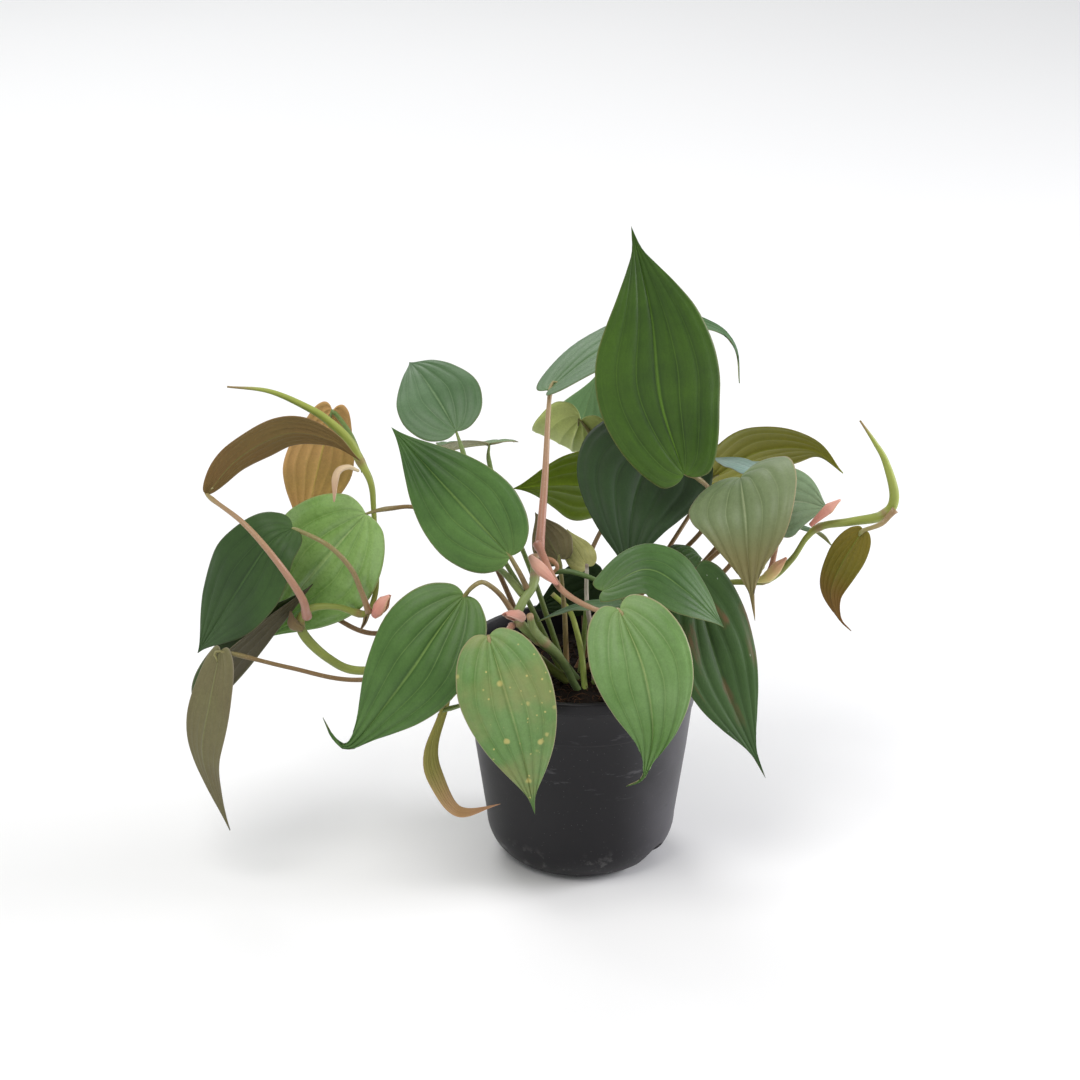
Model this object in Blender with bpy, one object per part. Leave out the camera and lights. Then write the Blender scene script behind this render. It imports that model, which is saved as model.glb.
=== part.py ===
"""A potted trailing philodendron: a plastic nursery pot, its soil, the vines and every leaf.

Metres, +Z up. The pot's axis is the Z axis and its foot rests on z = 0. The plant's front is -Y.
Places and sizes in the tables below are millimetres.
"""

import math

import bmesh
import bpy
import numpy as np

MM = 0.001

# Pot: an injection-moulded 10 cm nursery pot
POT_HEIGHT = 90.0
RIM_RADIUS = 50.0
RIM_BAND = 5.0
RIM_LIP = 1.1
LEDGE_DROP = 20.0
LEDGE_STEP = 0.6
LEDGE_SLOPE = 0.8
RIM_ROUND = 0.6
FOOT_RADIUS = 24.0
HEEL_RADIUS = 38.3
HEEL_HEIGHT = 18.0
HEEL_STEPS = 5
WALL = 1.4
FLOOR = 1.8
POT_STEPS = 44
DRAIN_HOLES = 5
DRAIN_HOLE_RADIUS = 3.5
DRAIN_RING = 16.0
NOTCH_ANGLES = (-32.0, 148.0)
NOTCH_WIDTH = 16.0
NOTCH_HEIGHT = 11.0

# Soil
SOIL_TOP = 79.0
SOIL_CLEARANCE = 0.35
SOIL_HUMP = 2.0

# Leaves and stalks
BLADE_THICKNESS = 0.8
BLADE_ROWS = 10
BLADE_COLUMNS = 2
STALK_SIDES = 6
VINE_SIDES = 8
STALK_RADIUS = 1.25
STALK_TIP_RADIUS = 0.7
STALK_REACH = 0.14
STALK_SPACING = 8.0
VINE_SPACING = 6.0
SPLINE_STEPS = 12
RIB_POINTS = 41
VEIN_SPREAD = 1.25
NECK_REACH = 0.45

# Half a heart-shaped leaf, from the notch where the stalk joins, round the lobe, to the drawn-out tip:
# (distance along the midrib as a share of its length, half-width as a share of the widest)
HEART = (
    (0.0, 0.0),
    (-0.05, 0.10),
    (-0.085, 0.27),
    (-0.08, 0.46),
    (-0.03, 0.69),
    (0.08, 0.88),
    (0.24, 1.0),
    (0.42, 0.94),
    (0.59, 0.74),
    (0.73, 0.48),
    (0.85, 0.23),
    (0.935, 0.08),
    (1.0, 0.0),
)
# How far along each of those points lies on a leaf with no lobes
OVATE = (0.0, 0.004, 0.015, 0.04, 0.09, 0.17, 0.30, 0.45, 0.60, 0.73, 0.85, 0.935, 1.0)

COLOURS = {
    "pot_plastic": ((0.035, 0.034, 0.038), 0.45),
    "soil": ((0.035, 0.024, 0.017), 0.95),
    "leaf_green": ((0.07, 0.17, 0.05), 0.5),
    "leaf_dark": ((0.03, 0.09, 0.04), 0.5),
    "leaf_bronze": ((0.17, 0.10, 0.04), 0.55),
    "young_stem": ((0.33, 0.40, 0.09), 0.45),
    "vine": ((0.20, 0.27, 0.09), 0.5),
    "sheath": ((0.60, 0.30, 0.24), 0.6),
    "dry_sheath": ((0.45, 0.36, 0.22), 0.8),
}


def clear_scene():
    for obj in list(bpy.data.objects):
        bpy.data.objects.remove(obj, do_unlink=True)


def material(name):
    """The Principled material of one slot, made once and shared."""
    found = bpy.data.materials.get(name)
    if found:
        return found
    colour, roughness = COLOURS[name]
    made = bpy.data.materials.new(name)
    made.use_nodes = True
    shader = made.node_tree.nodes["Principled BSDF"]
    shader.inputs["Base Color"].default_value = (*colour, 1.0)
    shader.inputs["Roughness"].default_value = roughness
    shader.inputs["Metallic"].default_value = 0.0
    return made


def add_mesh(name, points, faces, slot):
    """A mesh object from points in millimetres, with its faces turned outwards."""
    mesh = bpy.data.meshes.new(name)
    mesh.from_pydata([tuple(float(c) * MM for c in point) for point in points], [], faces)
    mesh.validate()
    solid = bmesh.new()
    solid.from_mesh(mesh)
    bmesh.ops.recalc_face_normals(solid, faces=solid.faces)
    solid.to_mesh(mesh)
    solid.free()
    mesh.materials.append(material(slot))
    obj = bpy.data.objects.new(name, mesh)
    bpy.context.scene.collection.objects.link(obj)
    return obj


def combine(obj, helper, operation):
    """A Boolean with a hidden helper."""
    helper.hide_render = True
    helper.display_type = "WIRE"
    modifier = obj.modifiers.new(helper.name, "BOOLEAN")
    modifier.operation = operation
    modifier.object = helper


def unit(vector):
    return vector / np.linalg.norm(vector)


def spline(points, count):
    """Evenly spaced points along a smooth curve through the given ones."""
    knots = np.array(points, float)
    padded = np.vstack([2 * knots[0] - knots[1], knots, 2 * knots[-1] - knots[-2]])
    fine = [knots[0]]
    for i in range(len(knots) - 1):
        a, b, c, d = padded[i : i + 4]
        for t in np.linspace(0, 1, SPLINE_STEPS + 1)[1:]:
            square = 2 * a - 5 * b + 4 * c - d
            cube = 3 * b - a - 3 * c + d
            fine.append((2 * b + (c - a) * t + square * t**2 + cube * t**3) / 2)
    fine = np.array(fine)
    lengths = np.concatenate([[0], np.cumsum(np.linalg.norm(np.diff(fine, axis=0), axis=1))])
    wanted = np.linspace(0, lengths[-1], count)
    return np.stack([np.interp(wanted, lengths, fine[:, k]) for k in range(fine.shape[1])], axis=1)


def tangents(path):
    return np.array([unit(step) for step in np.gradient(path, axis=0)])


def carried_normals(path, start):
    """Normals carried along a path without twisting about it, from a starting direction."""
    along = tangents(path)
    normals = []
    normal = np.array(start, float)
    for tangent in along:
        normal = unit(normal - tangent * normal.dot(tangent))
        normals.append(normal)
    return along, np.array(normals)


def tube_shape(path, radii, sides):
    """Points and faces of a closed round tube along a path."""
    start = (0.0, 0.0, 1.0) if abs(unit(path[1] - path[0])[2]) < 0.9 else (1.0, 0.0, 0.0)
    along, normals = carried_normals(path, start)
    points = []
    for centre, tangent, normal, radius in zip(path, along, normals, radii):
        across = np.cross(tangent, normal)
        for k in range(sides):
            angle = 2 * math.pi * k / sides
            points.append(centre + radius * (math.cos(angle) * normal + math.sin(angle) * across))
    faces = []
    for ring in range(len(path) - 1):
        for k in range(sides):
            a = ring * sides + k
            b = ring * sides + (k + 1) % sides
            faces.append((a, b, b + sides, a + sides))
    faces.append(tuple(range(sides)))
    faces.append(tuple(len(points) - sides + k for k in range(sides)))
    return points, faces


def tube(name, points, radii, slot, sides=VINE_SIDES, spacing=VINE_SPACING):
    """A stem through the given points, its radius following the given values."""
    length = sum(math.dist(a, b) for a, b in zip(points, points[1:]))
    count = max(4, round(length / spacing))
    path = spline(points, count)
    shares = np.linspace(0, 1, len(radii))
    widths = np.interp(np.linspace(0, 1, count), shares, radii)
    return add_mesh(name, *tube_shape(path, widths, sides), slot)


class Blade:
    """The middle surface of one leaf blade, as a map from (along, across) to space."""

    def __init__(self, midrib, faces, width, fold=12.0, curl=20.0, lobes=1.0, tail=0.0, neck=0.0, belly=1.0):
        self.rib = spline(midrib, RIB_POINTS)
        self.along, self.normals = carried_normals(self.rib, faces)
        self.length = np.linalg.norm(np.diff(self.rib, axis=0), axis=1).sum()
        self.half_width = width / 2
        self.fold = math.radians(fold)
        self.curl = math.radians(curl)
        self.lobes = lobes
        self.tail = tail
        self.neck = neck
        self.belly = belly

    def frame(self, share):
        """The midrib point, its tangent and the blade's normal there."""
        place = min(max(share, 0.0), 1.0) * (len(self.rib) - 1)
        low = min(int(place), len(self.rib) - 2)
        part = place - low
        point = self.rib[low] * (1 - part) + self.rib[low + 1] * part
        tangent = unit(self.along[low] * (1 - part) + self.along[low + 1] * part)
        normal = unit(self.normals[low] * (1 - part) + self.normals[low + 1] * part)
        point = point + tangent * min(share, 0.0) * self.length
        return point, tangent, normal

    def at(self, share, across):
        """The point at a share of the length and a signed share of the half-width."""
        point, tangent, normal = self.frame(share)
        side = np.cross(tangent, normal)
        reach = abs(across) * self.half_width
        slope = self.fold - self.curl * abs(across) / 2
        sideways = side * math.copysign(reach * math.cos(slope), across)
        return point + sideways + normal * reach * math.sin(slope)

    def outline(self, count):
        """Half the outline: HEART with a longer tip, a fuller middle or a narrower base."""
        points = []
        for (along, across), plain in zip(HEART, OVATE):
            narrowing = self.neck * min(1.0, max(0.0, 1 - along / NECK_REACH))
            along = along * self.lobes + plain * (1 - self.lobes)
            if 0 < along < 1:
                along = along**self.belly * (1 - self.tail)
            points.append((along, across * (1 - narrowing)))
        return spline(points, count)


def blade_shape(blade):
    """Points and faces of the blade as a thin closed solid."""
    outline = blade.outline(BLADE_ROWS + 1)
    middle = [blade.at(0.0, 0.0)]
    rows = [[0] * (2 * BLADE_COLUMNS + 1)]
    for i in range(1, BLADE_ROWS):
        along, across = outline[i]
        start = (i / BLADE_ROWS) ** VEIN_SPREAD
        row = []
        for k in range(-BLADE_COLUMNS, BLADE_COLUMNS + 1):
            share = abs(k) / BLADE_COLUMNS
            row.append(len(middle))
            middle.append(blade.at(start + (along - start) * share, math.copysign(across * share, k)))
        rows.append(row)
    rows.append([len(middle)] * (2 * BLADE_COLUMNS + 1))
    middle.append(blade.at(1.0, 0.0))
    middle = np.array(middle)

    faces = []
    for low, high in zip(rows, rows[1:]):
        for k in range(2 * BLADE_COLUMNS):
            corners = list(dict.fromkeys((low[k], low[k + 1], high[k + 1], high[k])))
            faces.append(tuple(corners))

    normals = np.zeros_like(middle)
    for face in faces:
        a, b, c = (middle[k] for k in face[:3])
        normals[list(face)] += np.cross(b - a, c - a)
    normals = np.array([unit(n) for n in normals])
    points = np.vstack([middle + normals * BLADE_THICKNESS / 2, middle - normals * BLADE_THICKNESS / 2])

    below = len(middle)
    margin = [row[0] for row in rows] + [row[-1] for row in rows[-2:0:-1]]
    faces += [tuple(below + k for k in reversed(face)) for face in faces]
    for a, b in zip(margin, margin[1:] + margin[:1]):
        faces.append((a, b, below + b, below + a))
    return points, faces


def leaf(name, slot, stalk, midrib, faces, width, stalk_radius=STALK_RADIUS, **shape):
    """One leaf: the blade and the stalk that carries it, grown together as one solid."""
    blade = Blade(midrib, faces, width, **shape)
    obj = add_mesh(name, *blade_shape(blade), slot)
    base, _, normal = blade.frame(0.0)
    under, _, under_normal = blade.frame(STALK_REACH)
    route = [*stalk, base - normal * BLADE_THICKNESS / 2, under - under_normal * BLADE_THICKNESS / 2]
    length = sum(math.dist(a, b) for a, b in zip(route, route[1:]))
    count = max(5, round(length / STALK_SPACING))
    path = spline(route, count)
    radii = np.linspace(stalk_radius, STALK_TIP_RADIUS, count)
    helper = add_mesh(name + "_stalk", *tube_shape(path, radii, STALK_SIDES), slot)
    combine(obj, helper, "UNION")
    return obj


def lathe(name, profile, slot, steps):
    """A solid turned round the Z axis from a closed (radius, height) outline."""
    solid = bmesh.new()
    ring = [solid.verts.new((radius * MM, 0.0, height * MM)) for radius, height in profile]
    edges = [solid.edges.new((a, b)) for a, b in zip(ring, ring[1:] + ring[:1])]
    bmesh.ops.spin(
        solid, geom=ring + edges, axis=(0, 0, 1), cent=(0, 0, 0), steps=steps, angle=2 * math.pi,
        use_merge=True,
    )
    bmesh.ops.remove_doubles(solid, verts=solid.verts, dist=1e-7)
    bmesh.ops.recalc_face_normals(solid, faces=solid.faces)
    mesh = bpy.data.meshes.new(name)
    solid.to_mesh(mesh)
    solid.free()
    mesh.materials.append(material(slot))
    obj = bpy.data.objects.new(name, mesh)
    bpy.context.scene.collection.objects.link(obj)
    return obj


def wall_radius(height):
    """The pot's outer radius at a height, between the heel and the rim band."""
    share = (height - HEEL_HEIGHT) / (POT_HEIGHT - RIM_BAND - HEEL_HEIGHT)
    return HEEL_RADIUS + 1.0 + share * (RIM_RADIUS - RIM_LIP - HEEL_RADIUS - 1.0)


def heel_arc(inset, floor):
    """Points round the heel, from the flat base up to the wall, at an inset from the pot's outside."""
    outer = wall_radius(HEEL_HEIGHT) - inset
    inner = FOOT_RADIUS - inset / 2
    points = []
    for k in range(HEEL_STEPS + 1):
        angle = math.pi / 2 * k / HEEL_STEPS
        rise = (HEEL_HEIGHT - floor) * (1 - math.cos(angle))
        points.append((inner + (outer - inner) * math.sin(angle), floor + rise))
    return points


def make_pot():
    ledge = POT_HEIGHT - LEDGE_DROP
    band = POT_HEIGHT - RIM_BAND
    lip = POT_HEIGHT - RIM_ROUND
    outside = heel_arc(0.0, 0.0)
    outside += [
        (wall_radius(ledge) - LEDGE_STEP, ledge - LEDGE_SLOPE),
        (wall_radius(ledge), ledge),
        (wall_radius(band), band - RIM_ROUND),
        (RIM_RADIUS - 0.2, band),
        (RIM_RADIUS, lip),
        (RIM_RADIUS - RIM_ROUND, POT_HEIGHT),
    ]
    inside = [
        (RIM_RADIUS - RIM_ROUND - WALL, POT_HEIGHT),
        (wall_radius(band) - WALL, band - 2.0),
        (wall_radius(ledge) - LEDGE_STEP - WALL, ledge - 2.0),
        *reversed(heel_arc(WALL, FLOOR)),
    ]
    pot = lathe("pot", [(0.0, 0.0), *outside, *inside, (0.0, FLOOR)], "pot_plastic", POT_STEPS)
    for k in range(DRAIN_HOLES):
        angle = 2 * math.pi * (k + 0.5) / DRAIN_HOLES
        centre = (DRAIN_RING * math.cos(angle), DRAIN_RING * math.sin(angle))
        path = np.array([(*centre, -3.0), (*centre, FLOOR + 3.0)])
        tube_points = tube_shape(path, (DRAIN_HOLE_RADIUS,) * 2, 12)
        cutter = add_mesh(f"drain_cutter_{k}", *tube_points, "pot_plastic")
        combine(pot, cutter, "DIFFERENCE")
    for k, degrees in enumerate(NOTCH_ANGLES):
        angle = math.radians(degrees)
        outward = np.array([math.cos(angle), math.sin(angle), 0.0])
        sink = np.array([0.0, 0.0, NOTCH_HEIGHT - NOTCH_WIDTH / 2])
        path = np.array([outward * (FOOT_RADIUS + 2.0) + sink, outward * (HEEL_RADIUS + 6.0) + sink])
        cutter = add_mesh(f"notch_cutter_{k}", *tube_shape(path, (NOTCH_WIDTH / 2,) * 2, 16), "pot_plastic")
        combine(pot, cutter, "DIFFERENCE")
    return pot


def make_soil():
    """The growing medium, its top gently heaped in the middle."""
    gap = WALL + SOIL_CLEARANCE
    ledge = POT_HEIGHT - LEDGE_DROP
    edge = wall_radius(SOIL_TOP) - gap - 0.8
    profile = [
        (0.0, FLOOR + SOIL_CLEARANCE),
        *heel_arc(gap + 0.6, FLOOR + SOIL_CLEARANCE),
        (wall_radius(ledge) - gap - LEDGE_STEP - 0.4, ledge - 3.0),
        (edge, SOIL_TOP - SOIL_HUMP),
        (edge * 0.6, SOIL_TOP - SOIL_HUMP * 0.4),
        (0.0, SOIL_TOP),
    ]
    return lathe("soil", profile, "soil", 32)


def make_stems():
    tube(
        "left_vine",
        [(-9, -6, 82), (-26, -12, 98), (-48, -16, 99), (-74, -18, 92), (-92, -20, 91), (-103, -19, 96),
         (-112, -18, 105), (-114, -17, 112), (-109, -16, 117), (-99, -15, 117), (-88, -13, 113),
         (-84, -12, 120), (-83, -9, 131), (-84, -4, 154), (-85, -1, 165), (-89, 2, 173), (-94, 4, 182),
         (-101, 5, 189), (-109, 5, 195), (-125, 4, 203), (-142, 4, 205)],
        (1.9, 1.8, 1.8, 1.7, 1.7, 1.7, 1.7, 1.7, 1.8, 1.8, 2.1, 1.8, 1.2, 1.5, 1.1, 1.0, 1.0, 1.1, 1.4,
         2.0, 1.8, 1.5, 1.2, 0.8, 0.35),
        "vine",
    )
    tube(
        "right_vine",
        [(8, 6, 82), (34, 12, 106), (58, 8, 117), (75, 0, 122), (85, -2, 132), (91, -2, 142), (97, -2, 147),
         (109, -2, 149), (122, 0, 151), (126, 0, 159), (122, 0, 174), (117, 0, 183), (111, 0, 192)],
        (1.4, 1.3, 1.3, 1.2, 1.2, 1.2, 1.2, 1.4, 1.4, 1.1, 1.5, 1.7, 2.1, 2.1, 1.6, 1.0, 0.35),
        "vine",
    )
    tube(
        "centre_vine",
        [(-4, -5, 82), (-11, -12, 95), (-20, -22, 108), (-26, -29, 118), (-24, -28, 125), (-20, -24, 130),
         (-19, -17, 133), (-19, -11, 138)],
        (2.0, 1.9, 2.3, 2.0, 1.8, 2.0),
        "vine",
    )
    tube("front_stem", [(-3, -14, 82), (-9, -20, 97), (-17, -27, 109), (-20, -29, 115), (-21, -32, 121)],
         (1.6, 1.5, 1.9, 1.4), "vine", spacing=8.0)
    tube("yellow_stalk", [(1, -10, 82), (0, -6, 92), (-2, 1, 99), (-5, 6, 106), (-12, 9, 112)],
         (1.3, 1.2, 1.0), "young_stem", STALK_SIDES, spacing=8.0)
    tube("dark_stalk", [(-14, -6, 128), (-5, -9, 130), (5, -10, 127), (10, -8, 123)], (1.0, 1.1, 0.8),
         "vine", STALK_SIDES)
    tube("dead_stalk", [(5, -6, 82), (4, -5, 100), (2, -4, 116), (2, -4, 131)], (0.9, 1.0, 0.7), "dry_sheath",
         STALK_SIDES, spacing=10.0)


def make_sheaths():
    tube("dry_sheath", [(-90, -4, 172), (-94, -10, 176), (-98, -15, 175), (-99, -17, 164)],
         (0.7, 1.1, 1.4, 0.4), "dry_sheath", STALK_SIDES)
    tube("node_sheath", [(-84, -17, 114), (-81, -18, 118), (-77, -18, 123)], (1.6, 3.2, 3.4, 1.2), "sheath",
         STALK_SIDES, spacing=3.0)
    tube("right_sheath", [(92, -6, 149), (97, -6, 154), (104, -6, 160)], (0.9, 1.6, 2.4, 0.7), "sheath",
         STALK_SIDES, spacing=4.0)
    tube("bud_sheath", [(71, -7, 125), (75, -8, 127), (79, -8, 131), (83, -7, 135)], (0.9, 2.3, 2.6, 0.8),
         "sheath", STALK_SIDES, spacing=4.0)
    tube("front_sheath", [(-24, -36, 122), (-27, -44, 126), (-31, -50, 129)], (1.6, 2.8, 2.6, 1.4), "sheath",
         STALK_SIDES, spacing=4.0)
    tube("centre_sheath", [(-21, -23, 142), (-16, -29, 139), (-9, -37, 136)], (1.2, 1.6, 1.5, 0.6), "sheath",
         STALK_SIDES)


def make_leaves():
    # The crown and the leaves behind it
    leaf("crown_leaf", "leaf_green",
         [(5, 10, 81), (28, 22, 110), (50, 20, 136), (53, 10, 155), (47, 2, 166)],
         [(41, 0, 169), (31, 0, 201), (27, 4, 236), (19, 14, 269)], (0.05, -0.95, 0.25), 51,
         lobes=0.45, neck=0.05, belly=0.78, tail=0.04)
    leaf("arching_leaf", "leaf_green", [(-17, -7, 142), (-15, 10, 163)],
         [(-13, 30, 194), (8, 40, 207), (34, 46, 217), (54, 47, 214), (63, 45, 206), (65, 42, 192)],
         (-0.2, 0.05, 0.98), 38, lobes=0.5, tail=0.1)
    leaf("lime_leaf", "young_stem",
         [(6, 23, 81), (20, 52, 104), (22, 64, 130), (15, 58, 146), (8, 51, 160)],
         [(0, 52, 172), (-3, 56, 161), (-3, 65, 153), (1, 73, 164), (7, 79, 182)], (0.3, 0.95, 0.0), 38,
         fold=4, curl=6, belly=0.85)
    leaf("grey_leaf", "leaf_green",
         [(-9, 4, 81), (-22, 2, 112), (-34, 0, 136), (-42, 2, 158)],
         [(-51, 14, 182), (-58, 24, 191), (-66, 40, 197), (-71, 53, 197)], (-0.2, -0.6, 0.8), 35,
         lobes=0.5)
    leaf("back_flat_leaf", "leaf_green", [(-8, 10, 81), (-20, 14, 118), (-33, 20, 150), (-38, 33, 161)],
         [(-38, 40, 166), (-46, 56, 159), (-56, 76, 148)], (0.0, 0.35, 0.94), 34)
    leaf("dark_centre_leaf", "leaf_dark", [(0, 10, 81), (14, 18, 110), (30, 36, 138), (38, 47, 160)],
         [(34, 42, 169), (24, 22, 157), (20, 6, 146), (19, -8, 127)], (0.0, -0.75, 0.65), 56)
    leaf("olive_back_leaf", "leaf_bronze", [(2, 18, 81), (2, 32, 112), (12, 44, 132)],
         [(19, 48, 141), (-5, 44, 146), (-28, 40, 146)], (0.1, 0.8, 0.5), 54)
    leaf("olive_right_leaf", "leaf_bronze", [(9, 16, 81), (34, 32, 118), (50, 48, 138)],
         [(55, 52, 146), (75, 54, 157), (96, 48, 160), (109, 42, 152)], (0.0, 0.75, 0.66), 42)
    # The middle
    leaf("mid_left_leaf", "leaf_green", [(-23, -26, 132), (-25, -29, 138)],
         [(-29, -32, 147), (-51, -28, 171), (-76, -12, 194)], (-0.1, -0.85, 0.5), 39, lobes=0.35)
    leaf("small_grey_leaf", "leaf_bronze", [(-6, -2, 81), (-7, 0, 108)],
         [(-9, 2, 131), (-14, 6, 139), (-19, 10, 148)], (0.0, 0.9, 0.3), 18)
    leaf("small_pale_leaf", "young_stem",
         [(0, 4, 81), (2, 5, 108)],
         [(2, 6, 126), (-3, 10, 133), (-6, 14, 139)], (0.3, -0.9, 0.2), 13)
    leaf("edge_on_leaf", "leaf_green", [(6, -8, 81), (18, -20, 108)],
         [(16, -22, 121), (-1, -18, 118), (-18, -16, 111)], (0.0, 0.2, 0.97), 24)
    leaf("oblique_leaf", "leaf_green", [(14, -10, 81), (24, -24, 112), (16, -40, 132)],
         [(8, -41, 136), (25, -39, 144), (40, -41, 136), (56, -41, 120)], (0.05, -0.3, 0.95), 29, lobes=0.6,
         belly=0.65)
    leaf("dark_low_leaf", "leaf_dark", [(19, 4, 81), (31, 4, 106), (37, 8, 121)],
         [(40, 10, 126), (45, 14, 128), (50, 17, 124)], (0.0, -0.3, 0.95), 16)
    leaf("inner_leaf", "leaf_dark",
         [(14, 24, 81), (13, 24, 98), (11, 23, 107)],
         [(8, 22, 113), (-4, 22, 106), (-20, 22, 99)], (0.0, -0.95, 0.3), 22)
    leaf("sage_leaf", "leaf_green",
         [(15, 0, 81), (36, -4, 108), (60, -3, 130), (67, -3, 150), (66, -8, 165)],
         [(63, -14, 173), (63, -26, 173), (64, -38, 165), (65, -44, 150), (68, -46, 125)],
         (-0.45, -0.3, 0.85), 47, lobes=0.8, tail=0.2)
    leaf("round_right_leaf", "leaf_green", [(19, 13, 81), (46, 22, 114), (70, 16, 140)],
         [(76, 4, 154), (88, 2, 156), (100, 2, 153)], (0.2, -0.85, 0.5), 29)
    leaf("blue_strip_leaf", "leaf_green", [(14, 18, 81), (48, 32, 112), (72, 27, 148)],
         [(72, 23, 161), (63, 31, 161), (54, 39, 160)], (0.0, 0.1, 1.0), 18)
    leaf("low_right_leaf", "leaf_dark", [(11, -4, 81), (28, -11, 106), (39, -14, 123)],
         [(45, -16, 128), (54, -30, 100), (62, -34, 79), (75, -32, 48)], (0.25, -0.9, 0.35), 36, tail=0.1)
    leaf("thin_right_leaf", "leaf_green", [(78, 6, 127), (80, 8, 136)],
         [(82, 8, 142), (94, 10, 140), (103, 12, 132)], (0.0, 0.3, 0.95), 15)
    leaf("hanging_right_leaf", "leaf_bronze", [(124, -5, 153), (121, -6, 150), (117, -8, 149)],
         [(113, -9, 148), (105, -10, 134), (101, -10, 121), (105, -9, 109), (110, -8, 103)],
         (0.6, 0.7, 0.2), 16, lobes=0.3, tail=0.1)
    # The front
    leaf("front_left_leaf", "leaf_green",
         [(-28, -31, 122), (-32, -34, 130), (-36, -40, 137), (-40, -44, 141), (-44, -45, 139)],
         [(-47, -42, 134), (-58, -50, 121), (-70, -55, 104), (-91, -51, 74), (-99, -47, 73), (-104, -45, 82)],
         (-0.2, -0.8, 0.55), 43, lobes=0.3, tail=0.16)
    leaf("front_spotted_leaf", "leaf_green", [(-29, -33, 116), (-33, -52, 119)],
         [(-37, -65, 127), (-31, -75, 110), (-24, -77, 83), (-19, -71, 52)], (-0.05, -0.95, 0.3), 37.5,
         lobes=0.4, tail=0.05)
    leaf("front_right_leaf", "leaf_green", [(-17, -14, 142), (-9, -32, 133), (5, -46, 130)],
         [(14, -62, 137), (23, -76, 119), (27, -78, 94), (25, -74, 75), (23, -72, 68), (17, -70, 64)],
         (0.0, -0.9, 0.35), 39.5, lobes=0.6, tail=0.16)
    leaf("curled_low_leaf", "leaf_bronze",
         [(-15, -18, 81), (-30, -46, 97), (-46, -48, 90)],
         [(-56, -46, 85), (-61, -48, 69), (-59, -48, 56), (-50, -48, 41), (-33, -45, 43)],
         (0.8, -0.3, 0.4), 11)
    # The left trail
    leaf("brown_arch_leaf", "leaf_bronze",
         [(-111, -25, 119), (-112, -34, 130), (-121, -39, 148), (-134, -32, 161)],
         [(-150, -16, 167), (-137, -12, 181), (-118, -6, 189), (-101, -3, 185), (-89, -3, 176)],
         (-0.2, 0.75, 0.65), 25, lobes=0.1, neck=0.3)
    leaf("tan_back_leaf", "leaf_bronze",
         [(-89, 8, 170), (-93, 12, 180), (-98, 15, 187)],
         [(-101, 16, 190), (-107, 19, 166), (-115, 19, 132)], (0.0, 0.9, 0.35), 31,
         lobes=0.7, neck=0.3, belly=0.85)
    leaf("light_left_leaf", "leaf_green",
         [(-18, 6, 82), (-42, 4, 140), (-64, -8, 157), (-77, -12, 159)],
         [(-87, -11, 156), (-99, -6, 140), (-113, 1, 120), (-133, 8, 91)], (0.0, -0.85, 0.5), 49,
         lobes=0.4, belly=0.85)
    leaf("dark_left_leaf", "leaf_dark",
         [(-87, -18, 119), (-89, -19, 126), (-93, -21, 137), (-102, -23, 148)],
         [(-116, -16, 152), (-125, -20, 147), (-139, -18, 125), (-157, -8, 93)], (-0.5, -0.75, 0.4), 37,
         lobes=0.3, belly=0.8)
    leaf("hanging_left_leaf", "leaf_bronze",
         [(-22, -18, 81), (-38, -27, 97), (-60, -28, 95), (-92, -29, 91), (-118, -32, 98)],
         [(-145, -34, 106), (-149, -42, 88), (-153, -42, 66), (-150, -38, 46), (-144, -34, 25)],
         (0.5, 0.8, 0.2), 20,
         lobes=0.4)
    leaf("boat_left_leaf", "leaf_bronze",
         [(-20, 4, 82), (-60, -6, 104), (-86, -8, 102), (-103, -3, 108), (-113, 8, 107), (-125, 14, 96),
          (-138, 10, 84), (-148, -2, 74)],
         [(-151, -13, 72), (-136, -15, 90), (-121, -14, 110), (-109, -10, 125)], (-0.72, -0.08, 0.69), 35,
         fold=60, curl=10)


def main():
    clear_scene()
    make_pot()
    make_soil()
    make_stems()
    make_sheaths()
    make_leaves()


main()
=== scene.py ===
"""The looks of the potted philodendron: every leaf, stalk, vine and sheath, the soil and the pot.

The leaves and stems follow the same routes as the CAD model, here at full detail. Tables of places are in
millimetres, in the CAD model's frame: the pot's axis is Z, its foot rests on z = 0, and the front is -Y.
"""

import math

import bpy
import numpy as np
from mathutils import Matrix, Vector, noise


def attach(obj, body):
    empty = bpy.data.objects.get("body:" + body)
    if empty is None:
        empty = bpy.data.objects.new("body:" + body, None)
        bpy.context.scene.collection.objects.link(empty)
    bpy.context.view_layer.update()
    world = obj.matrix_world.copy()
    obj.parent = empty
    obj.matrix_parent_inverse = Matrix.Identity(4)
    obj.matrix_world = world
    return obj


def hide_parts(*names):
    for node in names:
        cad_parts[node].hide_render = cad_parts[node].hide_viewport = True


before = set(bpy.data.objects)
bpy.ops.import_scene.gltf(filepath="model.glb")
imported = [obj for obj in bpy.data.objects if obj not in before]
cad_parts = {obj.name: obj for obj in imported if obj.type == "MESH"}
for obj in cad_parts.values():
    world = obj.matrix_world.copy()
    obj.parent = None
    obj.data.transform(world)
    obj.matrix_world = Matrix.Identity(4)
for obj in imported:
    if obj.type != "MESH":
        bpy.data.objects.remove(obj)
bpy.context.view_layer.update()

MM = 0.001
BODY = "root"
CHART = "grain"

# Camera and light
CAMERA_AT = (-0.017, -1.300, 0.704)
CAMERA_AIM = (-0.017, 0.0, 0.140)
CAMERA_LENS = 116.4
SENSOR_WIDTH = 36.0
CLIPPED = (0.05, 50.0)
FLOOR_REACH = 6.0
SKY_COLOUR = (0.97, 0.985, 1.0, 1.0)
SKY_STRENGTH = 0.5
LIGHTS_AIM = (0.0, 0.0, 0.13)
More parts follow.
